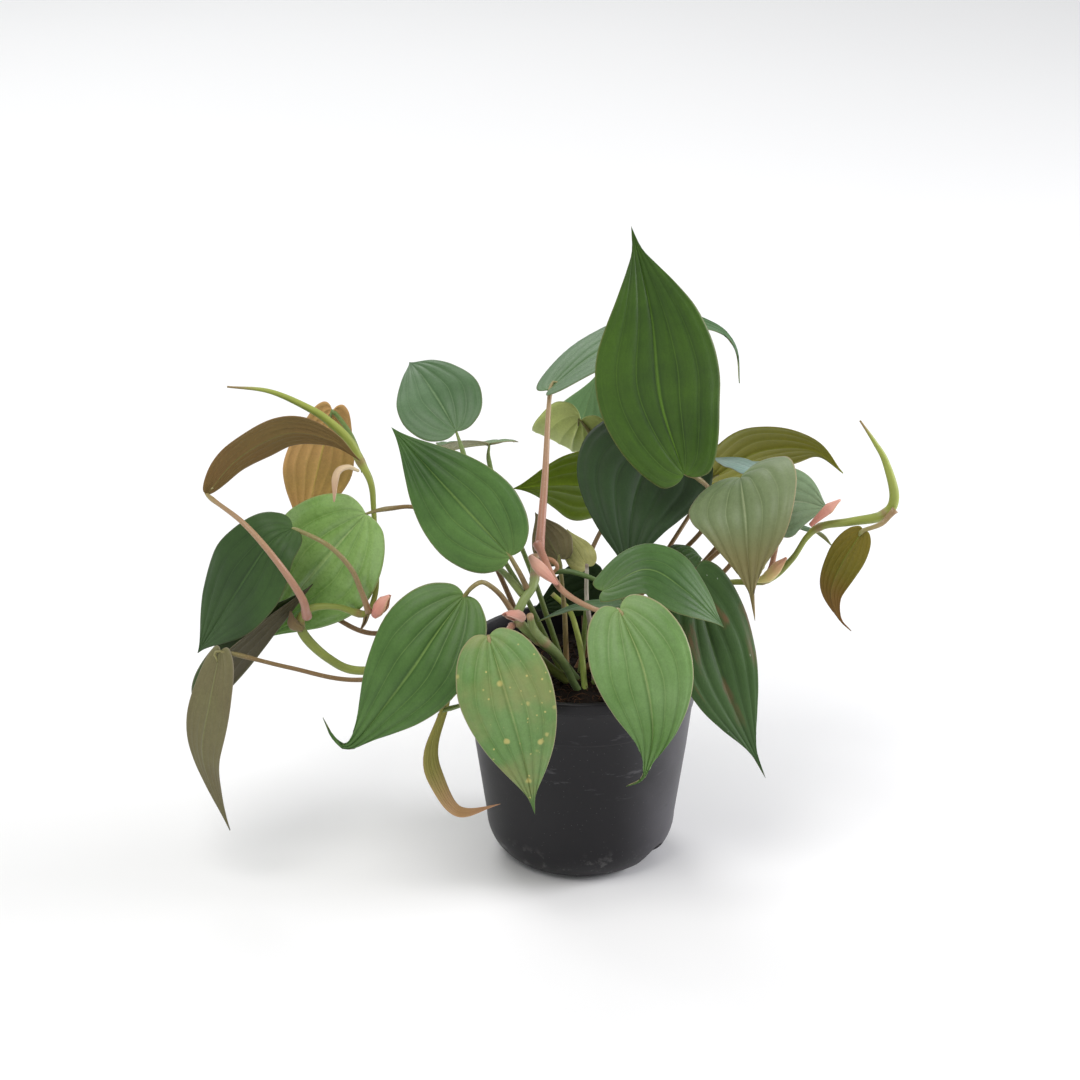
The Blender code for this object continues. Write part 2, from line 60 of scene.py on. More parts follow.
# Each light's name, place, size, power and colour
LIGHTS = (
    ("key", (-0.5, -0.8, 1.6), 1.1, 17.0, (1.0, 0.985, 0.96)),
    ("side", (1.3, 0.1, 0.5), 0.8, 16.0, (0.96, 0.95, 1.0)),
    ("rear", (-0.5, 1.2, 1.2), 1.0, 9.0, (1.0, 1.0, 1.0)),
)

# Pot, as in the CAD model
POT_HEIGHT = 90.0
RIM_RADIUS = 50.0
RIM_BAND = 5.0
RIM_LIP = 1.1
LEDGE_DROP = 20.0
LEDGE_STEP = 0.6
FOOT_RADIUS = 24.0
HEEL_RADIUS = 38.3
HEEL_HEIGHT = 18.0
WALL = 1.4
FLOOR = 1.8
POT_STEPS = 176
DRAIN_HOLES = 5
DRAIN_HOLE_RADIUS = 3.5
DRAIN_HOLE_SIDES = 32
DRAIN_RING = 16.0
NOTCH_ANGLES = (-32.0, 148.0)
NOTCH_WIDTH = 16.0
NOTCH_HEIGHT = 11.0
NOTCH_SIDES = 40
HEEL_STEPS = 14
SHARP_ABOVE = 38

# Soil
SOIL_TOP = 79.0
SOIL_HUMP = 2.0
SOIL_RADIUS = 46.0
# Each size of bump: its pitch, the layer of noise that it takes, and its height
SOIL_BUMPS = ((0.11, 1.7, 1.3), (0.45, 5.1, 0.7), (1.3, 9.4, 0.35))
SOIL_RINGS = 64
SOIL_STEPS = 150
CRUMBS = 520
FIBRES = 210

# Blades
BLADE_THICKNESS = 0.34
BLADE_ROWS = 56
VEIN_SPREAD = 1.25
VEIN_BEND = 1.8
VEINS = (0.0, 0.34, 0.66, 0.90)
COLUMNS = (
    0.0, 0.022, 0.055, 0.11, 0.18, 0.25, 0.30, 0.34, 0.38, 0.44, 0.51, 0.57, 0.62, 0.66, 0.70, 0.76, 0.82,
    0.87, 0.90, 0.95, 1.0,
)
QUILT = 0.7
QUILT_SCALE = 22.0
NECK_REACH = 0.45
RIB_RELIEF = 0.5
RIB_POINTS = 41
SPLINE_STEPS = 12

# Stalks and vines
STALK_SIDES = 12
VINE_SIDES = 16
STALK_RADIUS = 1.25
STALK_TIP_RADIUS = 0.75
STALK_STEP = 1.5
# A stalk swells at its foot and at its knee below the blade; reaches are shares of its length
FOOT_SWELL = 0.35
FOOT_REACH = 0.05
KNEE = 0.9
KNEE_SWELL = 0.22
KNEE_REACH = 0.035
VINE_STEP = 1.1
NODE_TINT = 1.6
NODE_SWELL = 0.35
NODE_WIDTH = 1.8
SCAR_DEPTH = 0.28
SCAR_WIDTH = 0.5
SHEATH_STEP = 0.8
SOIL_REACH = 5.0
NODE_REACH = 3.2
ROOTED_BELOW = 84.0

# Half a leaf's outline: (share of the midrib's length, share of the half-width), as in the CAD model
HEART = (
    (0.0, 0.0), (-0.05, 0.10), (-0.085, 0.27), (-0.08, 0.46), (-0.03, 0.69), (0.08, 0.88), (0.24, 1.0),
    (0.42, 0.94), (0.59, 0.74), (0.73, 0.48), (0.85, 0.23), (0.935, 0.08), (1.0, 0.0),
)
# How far along each of those points lies on a leaf with no lobes
OVATE = (0.0, 0.004, 0.015, 0.04, 0.09, 0.17, 0.30, 0.45, 0.60, 0.73, 0.85, 0.935, 1.0)


# Materials


def srgb(red, green, blue):
    """A linear colour from the 0 to 255 values that a screen shows."""
    shares = [c / 255 for c in (red, green, blue)]
    return tuple(c / 12.92 if c <= 0.04045 else ((c + 0.055) / 1.055) ** 2.4 for c in shares) + (1.0,)


class Finish:
    """One procedural material, with short calls for its nodes."""

    def __init__(self, name, roughness, specular, sheen=0.0):
        self.material = bpy.data.materials.new(name)
        self.material.use_nodes = True
        self.tree = self.material.node_tree
        self.shader = self.tree.nodes["Principled BSDF"]
        self.shader.inputs["Roughness"].default_value = roughness
        self.shader.inputs["Specular IOR Level"].default_value = specular
        self.shader.inputs["Sheen Weight"].default_value = sheen
        self.shader.inputs["Sheen Roughness"].default_value = 0.45

    def add(self, kind, inputs=(), **settings):
        node = self.tree.nodes.new(kind)
        for key, value in settings.items():
            setattr(node, key, value)
        for key, value in dict(inputs).items():
            self.set(node.inputs[key], value)
        return node

    def set(self, socket, value):
        if isinstance(value, bpy.types.NodeSocket):
            self.tree.links.new(value, socket)
        else:
            socket.default_value = value

    def math(self, operation, *values, clamp=False):
        return self.add("ShaderNodeMath", enumerate(values), operation=operation, use_clamp=clamp).outputs[0]

    def times(self, first, second):
        return self.math("MULTIPLY", first, second)

    def plus(self, first, second, clamp=False):
        return self.math("ADD", first, second, clamp=clamp)

    def scaled(self, value, factor, offset, clamp=False):
        return self.math("MULTIPLY_ADD", value, factor, offset, clamp=clamp)

    def blurred(self, value, noise, amount):
        """The value from 0 to 1, moved up and down by a noise."""
        return self.plus(value, self.scaled(noise, amount, -amount / 2), clamp=True)

    def mix(self, share, first, second, blend="MIX"):
        node = self.add("ShaderNodeMix", data_type="RGBA", blend_type=blend)
        self.set(node.inputs["Factor"], share)
        self.set(node.inputs[6], first)
        self.set(node.inputs[7], second)
        return node.outputs[2]

    def ramp(self, value, stops, smooth=False):
        """A grey ramp through (place, level) stops."""
        node = self.add("ShaderNodeValToRGB", {"Fac": value})
        band = node.color_ramp
        band.interpolation = "EASE" if smooth else "LINEAR"
        while len(band.elements) < len(stops):
            band.elements.new(1.0)
        for element, (place, level) in zip(band.elements, stops):
            element.position = place
            element.color = (level, level, level, 1.0)
        return node.outputs["Color"]

    def rise(self, value, start, end, level, smooth=False):
        """Nothing up to the start, then a climb to the level at the end."""
        return self.ramp(value, [(0.0, 0.0), (start, 0.0), (end, level)], smooth)

    def over(self, under, colour, share, strength):
        """A colour laid over another one, where the share says."""
        return self.mix(self.times(share, strength), under, colour)

    def place(self):
        """Where the point is on the object, in metres, fixed to it."""
        return self.add("ShaderNodeTexCoord").outputs["Object"]

    def map(self):
        """The piece's own flat coordinates, whole and as their two parts."""
        whole = self.add("ShaderNodeUVMap", uv_map=CHART).outputs["UV"]
        parts = self.add("ShaderNodeSeparateXYZ", {"Vector": whole})
        return whole, parts.outputs["X"], parts.outputs["Y"]

    def measure(self, name):
        return self.add("ShaderNodeAttribute", attribute_name=name).outputs["Fac"]

    def stretched(self, vector, scale):
        return self.add("ShaderNodeMapping", {"Vector": vector, "Scale": scale}).outputs["Vector"]

    def noise(self, vector, scale, detail=3.0, roughness=0.55):
        inputs = {"Vector": vector, "Scale": scale, "Detail": detail, "Roughness": roughness}
        return self.add("ShaderNodeTexNoise", inputs).outputs["Fac"]

    def cells(self, vector, scale):
        return self.add("ShaderNodeTexVoronoi", {"Vector": vector, "Scale": scale}).outputs["Distance"]

    def colour(self, value):
        self.set(self.shader.inputs["Base Color"], value)

    def rough(self, value):
        self.set(self.shader.inputs["Roughness"], value)

    def bump(self, height, strength=0.3, distance=0.0004):
        inputs = {"Height": height, "Strength": strength, "Distance": distance}
        self.set(self.shader.inputs["Normal"], self.add("ShaderNodeBump", inputs).outputs["Normal"])


# Leaf colours: upper side, its darker parts, its veins, underside, underside's veins, margin
LEAF_COLOURS = {
    "green": ((62, 93, 20), (34, 59, 14), (104, 142, 48), (116, 120, 62), (146, 156, 84), (120, 120, 72)),
    "bright": (
        (136, 172, 98), (84, 130, 40), (172, 198, 128), (116, 128, 62), (150, 160, 84), (150, 160, 100),
    ),
    "mid": ((80, 114, 54), (48, 80, 30), (124, 152, 80), (120, 120, 66), (146, 152, 88), (146, 142, 100)),
    "fern": ((72, 104, 52), (44, 76, 28), (116, 144, 76), (120, 120, 66), (146, 152, 88), (130, 132, 84)),
    "sage": (
        (112, 144, 86), (80, 118, 48), (160, 180, 116), (142, 140, 98), (166, 170, 116), (184, 158, 134),
    ),
    "dark": ((54, 82, 36), (34, 58, 22), (74, 104, 54), (112, 92, 60), (124, 122, 74), (92, 94, 56)),
    "night": ((36, 60, 26), (22, 40, 14), (50, 78, 38), (90, 92, 54), (104, 116, 64), (56, 72, 38)),
    "blue": ((88, 116, 80), (58, 90, 48), (122, 148, 104), (122, 122, 70), (150, 158, 96), (134, 134, 98)),
    "frost": (
        (140, 164, 156), (112, 142, 130), (170, 188, 178), (120, 120, 80), (150, 156, 100), (150, 150, 130),
    ),
    "pale": (
        (128, 150, 116), (96, 122, 84), (178, 192, 160), (138, 128, 88), (168, 168, 112), (150, 134, 106),
    ),
    "dusty": (
        (116, 134, 96), (86, 108, 66), (158, 172, 130), (138, 128, 88), (168, 168, 112), (170, 146, 118),
    ),
    "olive": ((96, 116, 40), (66, 90, 30), (120, 146, 60), (122, 120, 30), (140, 146, 50), (126, 108, 52)),
    "moss": ((90, 116, 36), (60, 84, 24), (120, 146, 60), (108, 134, 24), (136, 160, 46), (120, 100, 44)),
    "brown": ((80, 104, 52), (60, 84, 40), (118, 140, 70), (114, 86, 46), (108, 106, 50), (142, 104, 74)),
    "ash": ((66, 88, 38), (44, 64, 28), (110, 128, 76), (104, 95, 68), (120, 122, 78), (156, 144, 126)),
    "dusk": ((58, 78, 34), (40, 58, 26), (96, 112, 66), (80, 73, 53), (94, 94, 60), (132, 122, 104)),
    "rust": ((104, 116, 48), (84, 96, 40), (128, 140, 68), (116, 104, 32), (104, 118, 36), (112, 110, 40)),
    "straw": (
        (134, 134, 56), (112, 116, 44), (166, 158, 90), (134, 130, 62), (170, 150, 84), (176, 140, 110),
    ),
    "tan": ((120, 128, 66), (96, 110, 54), (150, 160, 84), (200, 152, 102), (188, 172, 84), (194, 150, 106)),
    "lime": (
        (112, 144, 100), (88, 122, 68), (160, 184, 124), (180, 192, 106), (214, 222, 160), (160, 170, 108),
    ),
    "butter": (
        (176, 174, 112), (150, 150, 88), (200, 200, 140), (180, 176, 116), (200, 196, 140), (180, 170, 120),
    ),
}
# How rough the upper side's shine is: low on a glossy leaf, high on a velvety one
ROUGHNESS = {"bright": 0.2, "pale": 0.3, "night": 0.52, "dark": 0.46}
# How far the lower half of a blade darkens and deepens
SHADED = {"sage": 0.45, "mid": 0.35, "fern": 0.35, "bright": 0.3, "green": 0.3}
# Grey levels across half a blade, from the midrib: the veins, and the painted shadows in the folds beside
# them
VEIN_LINES = (
    (0.0, 1.0), (0.018, 0.9), (0.042, 0.0), (0.327, 0.0), (0.34, 0.55), (0.353, 0.0),
    (0.648, 0.0), (0.66, 0.45), (0.672, 0.0), (0.89, 0.0), (0.90, 0.2), (0.91, 0.0),
)
VEIN_CREASE_SHADOWS = (
    (0.0, 0.0), (0.05, 0.7), (0.11, 0.0), (0.27, 0.0), (0.322, 0.55), (0.34, 0.2),
    (0.358, 0.55), (0.42, 0.0), (0.60, 0.0), (0.644, 0.45), (0.676, 0.45), (0.73, 0.0),
)
# The colour that the lower half of a blade takes on
TIP_CASTS = {"bronze_tip": (132, 108, 62), "blush_tip": (184, 132, 104), "rust_tip": (120, 70, 30)}
# Stalk colours: at the foot, and towards the blade
STALK_COLOURS = {
    "pink": ((172, 118, 100), (158, 136, 96)),
    "green": ((118, 136, 70), (100, 124, 62)),
    "brown": ((128, 92, 62), (118, 98, 58)),
    "tan": ((150, 120, 86), (128, 124, 70)),
}
# The last of every stalk, where it runs into the midrib
STALK_END = (140, 150, 92)


def leaf_finish(palette, marks=None):
    """A velvety blade: veins that arc from the base to the tip, a paler margin and a different underside."""
    top, deep, vein, under, under_vein, margin = (srgb(*c) for c in LEAF_COLOURS[palette])
    made = Finish(f"leaf_{palette}" + (f"_{marks}" if marks else ""), 0.46, 0.3, 0.05)
    made.shader.inputs["Sheen Tint"].default_value = (0.8, 0.9, 0.95, 1.0)
    if palette == "bright":
        made.shader.inputs["Coat Weight"].default_value = 0.35
        made.shader.inputs["Coat Roughness"].default_value = 0.18
    chart, along, across = made.map()
    side = made.measure("side")
    spread = made.math("ABSOLUTE", made.scaled(across, 2.0, -1.0))
    wander = made.scaled(made.noise(made.stretched(chart, (5.0, 12.0, 1.0)), 1.0), 0.02, -0.01)
    reach = made.plus(spread, wander)
    lines = made.ramp(reach, VEIN_LINES)
    crease_shadows = made.ramp(reach, VEIN_CREASE_SHADOWS)
    tips = made.ramp(along, [(0.0, 1.0), (0.35, 0.8), (0.8, 0.25), (1.0, 0.0)])
    veins = made.times(lines, tips)
    crease_shadows = made.times(crease_shadows, tips)
    streaks = made.noise(made.stretched(chart, (9.0, 42.0, 1.0)), 1.0, 4.0)
    clouds = made.noise(made.place(), 30.0, 3.0)
    mottle = made.noise(made.place(), 420.0, 4.0, 0.65)
    pores = made.cells(made.place(), 1300.0)
    shade = made.scaled(clouds, 2.2, -0.95)
    # Painted shade: darker lines beside the veins, for the shadows in the folds
    shade = made.plus(shade, made.times(crease_shadows, 0.75))
    shade = made.plus(shade, made.scaled(streaks, 0.45, -0.2))
    lower_half = made.rise(along, 0.3, 0.8, 1.0, smooth=True)
    shade = made.plus(shade, made.times(lower_half, SHADED.get(palette, 0.0)), clamp=True)
    upper = made.mix(shade, top, deep)
    upper = made.over(upper, vein, veins, 0.9)
    # Painted sheen: the blade is paler along the midrib towards its base
    base_sheen = made.ramp(along, [(0.0, 0.75), (0.12, 0.25), (0.35, 0.0)])
    upper = made.over(upper, vein, base_sheen, 0.55)
    lower = made.mix(made.scaled(clouds, 0.9, -0.25, clamp=True), under, under_vein)
    lower = made.over(lower, under_vein, veins, 0.95)
    whole = made.mix(side, lower, upper)
    speckle = made.scaled(mottle, 0.6, 0.7)
    speckle = made.plus(speckle, made.scaled(pores, 0.3, -0.13))
    whole = made.mix(0.5, whole, made.mix(1.0, whole, speckle, blend="MULTIPLY"))
    edge = made.ramp(spread, [(0.0, 0.0), (0.972, 0.0), (0.993, 0.45), (1.0, 0.7)])
    whole = made.mix(edge, whole, margin)
    if marks == "spots":
        whole = spotted(made, whole, side)
    if marks == "scorch":
        whole = scorched(made, whole, chart, along)
    if marks in TIP_CASTS:
        burn = made.ramp(along, [(0.0, 0.0), (0.45, 0.12), (0.75, 0.75), (1.0, 1.0)], smooth=True)
        whole = made.over(whole, srgb(*TIP_CASTS[marks]), burn, 0.8)
    made.colour(whole)
    gloss = made.scaled(mottle, 0.16, ROUGHNESS.get(palette, 0.38))
    made.rough(made.plus(gloss, made.times(made.math("SUBTRACT", 1.0, side), 0.12)))
    relief = made.plus(made.times(veins, -0.5), made.times(streaks, 0.3))
    for part, height in ((mottle, 0.35), (pores, 0.3)):
        relief = made.plus(relief, made.times(part, height))
    made.bump(relief, 0.35, 0.0003)
    return made.material


def spotted(made, whole, side):
    """Pale yellow flecks and a bronze cast, as on an old leaf that has been splashed."""
    place = made.place()
    cast = made.rise(made.noise(place, 45.0, 3.0), 0.45, 0.68, 0.4, smooth=True)
    whole = made.over(whole, srgb(158, 146, 96), cast, side)
    for spacing, limit in ((130.0, 0.2), (300.0, 0.16)):
        flecks = made.ramp(made.cells(place, spacing), [(0.0, 0.95), (limit * 0.6, 0.8), (limit, 0.0)])
        chosen = made.rise(made.noise(place, spacing * 0.6, 1.0), 0.42, 0.5, 1.0)
        flecks = made.times(made.times(flecks, chosen), side)
        whole = made.over(whole, srgb(206, 192, 118), flecks, 0.85)
    return whole


def scorched(made, whole, chart, along):
    """A rusty brown patch near the margin and a few chalky specks."""
    patch = made.rise(made.noise(chart, 3.2, 3.0), 0.54, 0.66, 0.8, smooth=True)
    low = made.ramp(along, [(0.0, 0.3), (0.3, 1.0), (0.6, 0.6), (0.8, 0.0)])
    whole = made.over(whole, srgb(112, 72, 50), patch, low)
    specks = made.ramp(made.cells(chart, 11.0), [(0.0, 0.9), (0.035, 0.6), (0.06, 0.0)])
    return made.mix(specks, whole, srgb(188, 196, 184))


def stalk_finish(tint):
    """A petiole that changes colour from its foot to the blade, with fine lengthwise streaks."""
    foot, head = (srgb(*c) for c in STALK_COLOURS[tint])
    made = Finish(f"stalk_{tint}", 0.42, 0.45, 0.1)
    chart, along, _ = made.map()
    streaks = made.noise(made.stretched(chart, (6.0, 9.0, 1.0)), 1.0, 4.0)
    dots = made.ramp(made.cells(made.place(), 900.0), [(0.0, 1.0), (0.22, 0.2), (0.4, 0.0)])
    whole = made.mix(made.blurred(along, streaks, 0.9), foot, head)
    whole = made.mix(made.rise(along, 0.86, 0.97, 0.45), whole, srgb(*STALK_END))
    whole = made.over(whole, srgb(226, 206, 180), dots, 0.25)
    made.colour(whole)
    made.rough(made.scaled(streaks, 0.25, 0.3))
    made.bump(streaks, 0.4, 0.0002)
    return made.material


def stem_finish(name, young, old, joint):
    """A vine: streaked green, browner at the nodes, where its ring scars are."""
    made = Finish(name, 0.45, 0.42, 0.08)
    chart, along, _ = made.map()
    streaks = made.noise(made.stretched(chart, (30.0, 7.0, 1.0)), 1.0, 4.0)
    clouds = made.noise(made.place(), 90.0, 2.0)
    whole = made.mix(made.blurred(along, clouds, 1.2), srgb(*old), srgb(*young))
    whole = made.mix(made.scaled(streaks, 0.9, -0.25, clamp=True), whole, srgb(*young))
    whole = made.over(whole, srgb(*joint), made.measure("node"), 0.75)
    whole = made.mix(made.rise(along, 0.955, 0.985, 0.85), whole, srgb(*joint))
    made.colour(whole)
    made.rough(made.scaled(streaks, 0.3, 0.28))
    made.bump(made.plus(streaks, made.measure("node")), 0.35, 0.0003)
    return made.material


def husk_finish(name, body, tip, ribs):
    """A papery sheath with lengthwise ribs, paler at its edge."""
    made = Finish(name, 0.6, 0.3, 0.15)
    chart, along, across = made.map()
    streaks = made.noise(made.stretched(chart, (3.0, 26.0, 1.0)), 1.0, 3.0)
    whole = made.mix(made.blurred(along, streaks, 0.8), srgb(*body), srgb(*tip))
    edge = made.ramp(across, [(0.0, 0.6), (0.1, 0.0), (0.9, 0.0), (1.0, 0.6)])
    whole = made.mix(edge, whole, srgb(*ribs))
    made.colour(whole)
    made.bump(streaks, 0.5, 0.0003)
    return made.material


def plastic_finish():
    """Black moulded polypropylene: faint grain, dust, dried splashes and rubbed scuffs, with a painted sheen
    of light laid in patches over its right side.
    """
    made = Finish("pot_plastic_look", 0.4, 0.3)
    place = made.place()
    parts = made.add("ShaderNodeSeparateXYZ", {"Vector": place}).outputs
    height = made.times(parts["Z"], 1000.0 / POT_HEIGHT)
    across = made.scaled(parts["X"], 10.0, 0.5)
    grain = made.noise(place, 2600.0, 2.0)
    clouds = made.noise(place, 28.0, 4.0, 0.6)
    rubs = made.noise(made.stretched(place, (60.0, 60.0, 210.0)), 1.0, 5.0, 0.7)
    scuffs = made.ramp(rubs, [(0.0, 0.0), (0.60, 0.0), (0.68, 0.35), (0.8, 0.7)])
    upper = made.ramp(height, [(0.35, 0.0), (0.6, 1.0), (0.95, 0.9)])
    foot = made.ramp(height, [(0.0, 1.0), (0.06, 0.9), (0.2, 0.0)])
    chips = made.rise(made.noise(place, 150.0, 5.0, 0.7), 0.56, 0.64, 0.5)
    # Painted sheen: the right side is mixed in patches towards a light grey, in place of the side light's
    # reflection.
    dusty = made.rise(across, 0.62, 0.98, 0.4, smooth=True)
    dusty = made.times(dusty, made.scaled(clouds, 1.8, -0.1, clamp=True))
    whole = made.mix(made.times(clouds, 0.9), srgb(9, 8, 11), srgb(22, 20, 25))
    whole = made.mix(dusty, whole, srgb(120, 118, 124))
    whole = made.over(whole, srgb(128, 128, 130), made.times(scuffs, upper), 0.5)
    whole = made.over(whole, srgb(150, 148, 146), made.times(chips, foot), 0.6)
    dust = made.ramp(made.cells(place, 520.0), [(0.0, 1.0), (0.06, 0.6), (0.1, 0.0)])
    whole = made.over(whole, srgb(140, 138, 134), dust, 0.3)
    made.colour(whole)
    made.rough(made.plus(made.scaled(clouds, 0.2, 0.34), made.times(scuffs, 0.2)))
    made.bump(grain, 0.12, 0.00015)
    return made.material


def soil_finish(name, dark, light, scale):
    made = Finish(name, 0.95, 0.15)
    place = made.place()
    clods = made.noise(place, scale, 6.0, 0.7)
    share = made.ramp(clods, [(0.0, 0.0), (0.4, 0.05), (0.6, 0.5), (0.75, 1.0)])
    made.colour(made.mix(share, srgb(*dark), srgb(*light)))
    made.bump(clods, 0.9, 0.0012)
    return made.material


def floor_finish():
    made = Finish("floor_look", 0.85, 0.2)
    cast = made.noise(made.place(), 3.0, 2.0)
    made.colour(made.mix(cast, (0.86, 0.86, 0.86, 1.0), (0.88, 0.88, 0.88, 1.0)))
    return made.material


# Curves and meshes


def unit(vector):
    return vector / np.linalg.norm(vector)


def spline(points, count):
    """Evenly spaced points along a smooth curve through the given ones."""
    knots = np.array(points, float)
    padded = np.vstack([2 * knots[0] - knots[1], knots, 2 * knots[-1] - knots[-2]])
    fine = [knots[0]]
    for i in range(len(knots) - 1):
        a, b, c, d = padded[i : i + 4]
        for t in np.linspace(0, 1, SPLINE_STEPS + 1)[1:]:
            square = 2 * a - 5 * b + 4 * c - d
            cube = 3 * b - a - 3 * c + d
            fine.append((2 * b + (c - a) * t + square * t**2 + cube * t**3) / 2)
    fine = np.array(fine)
    lengths = np.concatenate([[0], np.cumsum(np.linalg.norm(np.diff(fine, axis=0), axis=1))])
    wanted = np.linspace(0, lengths[-1], count)
    return np.stack([np.interp(wanted, lengths, fine[:, k]) for k in range(fine.shape[1])], axis=1)


def carried_normals(path, start):
    """Tangents, and normals carried along the path from a starting direction without twisting."""
    along = np.array([unit(step) for step in np.gradient(path, axis=0)])
    normals = []
    normal = np.array(start, float)
    for tangent in along:
        normal = unit(normal - tangent * normal.dot(tangent))
        normals.append(normal)
    return along, np.array(normals)


def around(radius, angle, height):
    return (radius * math.cos(angle), radius * math.sin(angle), height)


def bell(gap, width):
    return np.exp(-((gap / width) ** 2))


def route_length(points):
    return float(np.linalg.norm(np.diff(np.array(points, float), axis=0), axis=1).sum())


def make_piece(name, points, faces, chart, measures, material, node, slot):
    """A smooth-shaded piece of the model, which stands for one CAD node."""
    mesh = bpy.data.meshes.new(name)
    mesh.from_pydata((np.asarray(points) * MM).tolist(), [], faces)
    layer = mesh.uv_layers.new(name=CHART)
    corners = np.empty(len(mesh.loops), np.int32)
    mesh.loops.foreach_get("vertex_index", corners)
    layer.uv.foreach_set("vector", np.asarray(chart, np.float32)[corners].ravel())
    for key, values in measures.items():
        mesh.attributes.new(key, "FLOAT", "POINT").data.foreach_set("value", np.asarray(values, np.float32))
    mesh.polygons.foreach_set("use_smooth", [True] * len(mesh.polygons))
    mesh.materials.append(material)
    mesh.validate()
    obj = bpy.data.objects.new(name, mesh)
    bpy.context.scene.collection.objects.link(obj)
    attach(obj, BODY)
    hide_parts(node)
    return obj


class Shell:
    """Points, faces and their coordinates, gathered from several small bodies into one mesh."""

    def __init__(self):
        self.points = []
        self.faces = []
        self.chart = []

    def add(self, points, faces, chart):
        start = len(self.points)
        self.points += list(points)
        self.chart += list(chart)
        self.faces += [tuple(start + k for k in face) for face in faces]

    def piece(self, name, material, node, slot):
        return make_piece(name, self.points, self.faces, self.chart, {}, material, node, slot)


def tube_body(path, radii, sides, start=None):
    """Points, faces and chart of a round closed tube; both ends are drawn in to a small cap."""
    if start is None:
        start = (0.0, 0.0, 1.0) if abs(unit(path[1] - path[0])[2]) < 0.9 else (1.0, 0.0, 0.0)
    along, normals = carried_normals(path, start)
    angles = 2 * math.pi * np.arange(sides) / sides
    points = []
    chart = []
    for i, centre in enumerate(path):
        across = np.cross(along[i], normals[i])
        ring = np.cos(angles)[:, None] * normals[i] + np.sin(angles)[:, None] * across
        points += list(centre + radii[i] * ring)
        share = i / (len(path) - 1)
        chart += [(share, abs(2 * k / sides - 1)) for k in range(sides)]
    faces = []
    for i in range(len(path) - 1):
        for k in range(sides):
            a = i * sides + k
            b = i * sides + (k + 1) % sides
            faces.append((a, b, b + sides, a + sides))
    faces.append(tuple(reversed(range(sides))))
    faces.append(tuple(len(points) - sides + k for k in range(sides)))
    return points, faces, chart


# Leaves


class Blade:
    """The middle surface of one leaf blade, as in the CAD model, with ripples."""

    def __init__(self, midrib, faces, width, fold=12.0, curl=20.0, lobes=1.0, tail=0.0, neck=0.0, belly=1.0,
                 ripple=0.8, relief=1.0, seed=0):
        self.rib = spline(midrib, RIB_POINTS)
        self.along, self.normals = carried_normals(self.rib, faces)
        self.length = route_length(self.rib)
        self.half_width = width / 2
        self.fold = math.radians(fold)
        self.curl = math.radians(curl)
        self.lobes = lobes
        self.tail = tail
        self.neck = neck
        self.belly = belly
        self.relief = relief
        self.ripple = ripple
        self.seed = seed

    def frame(self, share):
        """The midrib point, its tangent and the blade's normal there."""
        place = min(max(share, 0.0), 1.0) * (len(self.rib) - 1)
        low = min(int(place), len(self.rib) - 2)
        part = place - low
        point = self.rib[low] * (1 - part) + self.rib[low + 1] * part
        tangent = unit(self.along[low] * (1 - part) + self.along[low + 1] * part)
        normal = unit(self.normals[low] * (1 - part) + self.normals[low + 1] * part)
        return point + tangent * min(share, 0.0) * self.length, tangent, normal

    def at(self, share, across):
        """The point at a share of the length and a signed share of the half-width."""
        point, tangent, normal = self.frame(share)
        side = np.cross(tangent, normal)
        reach = abs(across) * self.half_width
        slope = self.fold - self.curl * abs(across) / 2
        wave = math.sin(7.3 * share + 2.1 * self.seed + math.copysign(1.3, across))
        wave += 0.5 * math.sin(15.1 * share + 3.7 * self.seed + across)
        lifted = reach * math.sin(slope) + self.ripple * across**2 * wave
        return point + side * math.copysign(reach * math.cos(slope), across) + normal * lifted

    def outline(self, count):
        """Half the outline: HEART with shallower lobes, a longer tip, a fuller middle or a narrower base."""
        points = []
        for (along, across), plain in zip(HEART, OVATE):
            narrowing = self.neck * min(1.0, max(0.0, 1 - along / NECK_REACH))
            along = along * self.lobes + plain * (1 - self.lobes)
            if 0 < along < 1:
                along = along**self.belly * (1 - self.tail)
            points.append((along, across * (1 - narrowing)))
        return spline(points, count)


def quilt(share):
    """How far the blade bulges at a share of the way across: nothing on a vein, most between two."""
    marks = (*VEINS, 1.0)
    for low, high in zip(marks, marks[1:]):
        if low <= share <= high:
            rise = abs(math.sin(math.pi * (share - low) / (high - low))) ** 0.75
            return rise * (high - low) / VEINS[1] * (0.35 if high == 1.0 else 1.0)
    return 0.0


def ridge(share, reach, length_share):
    """How far the veins stand out below the blade, in millimetres."""
    low = RIB_RELIEF * math.exp(-((reach / 0.75) ** 2)) * (1 - 0.8 * length_share)
    for vein in VEINS[1:]:
        low += 0.4 * RIB_RELIEF * math.exp(-(((share - vein) / 0.03) ** 2)) * (1 - length_share) ** 0.7
    return low


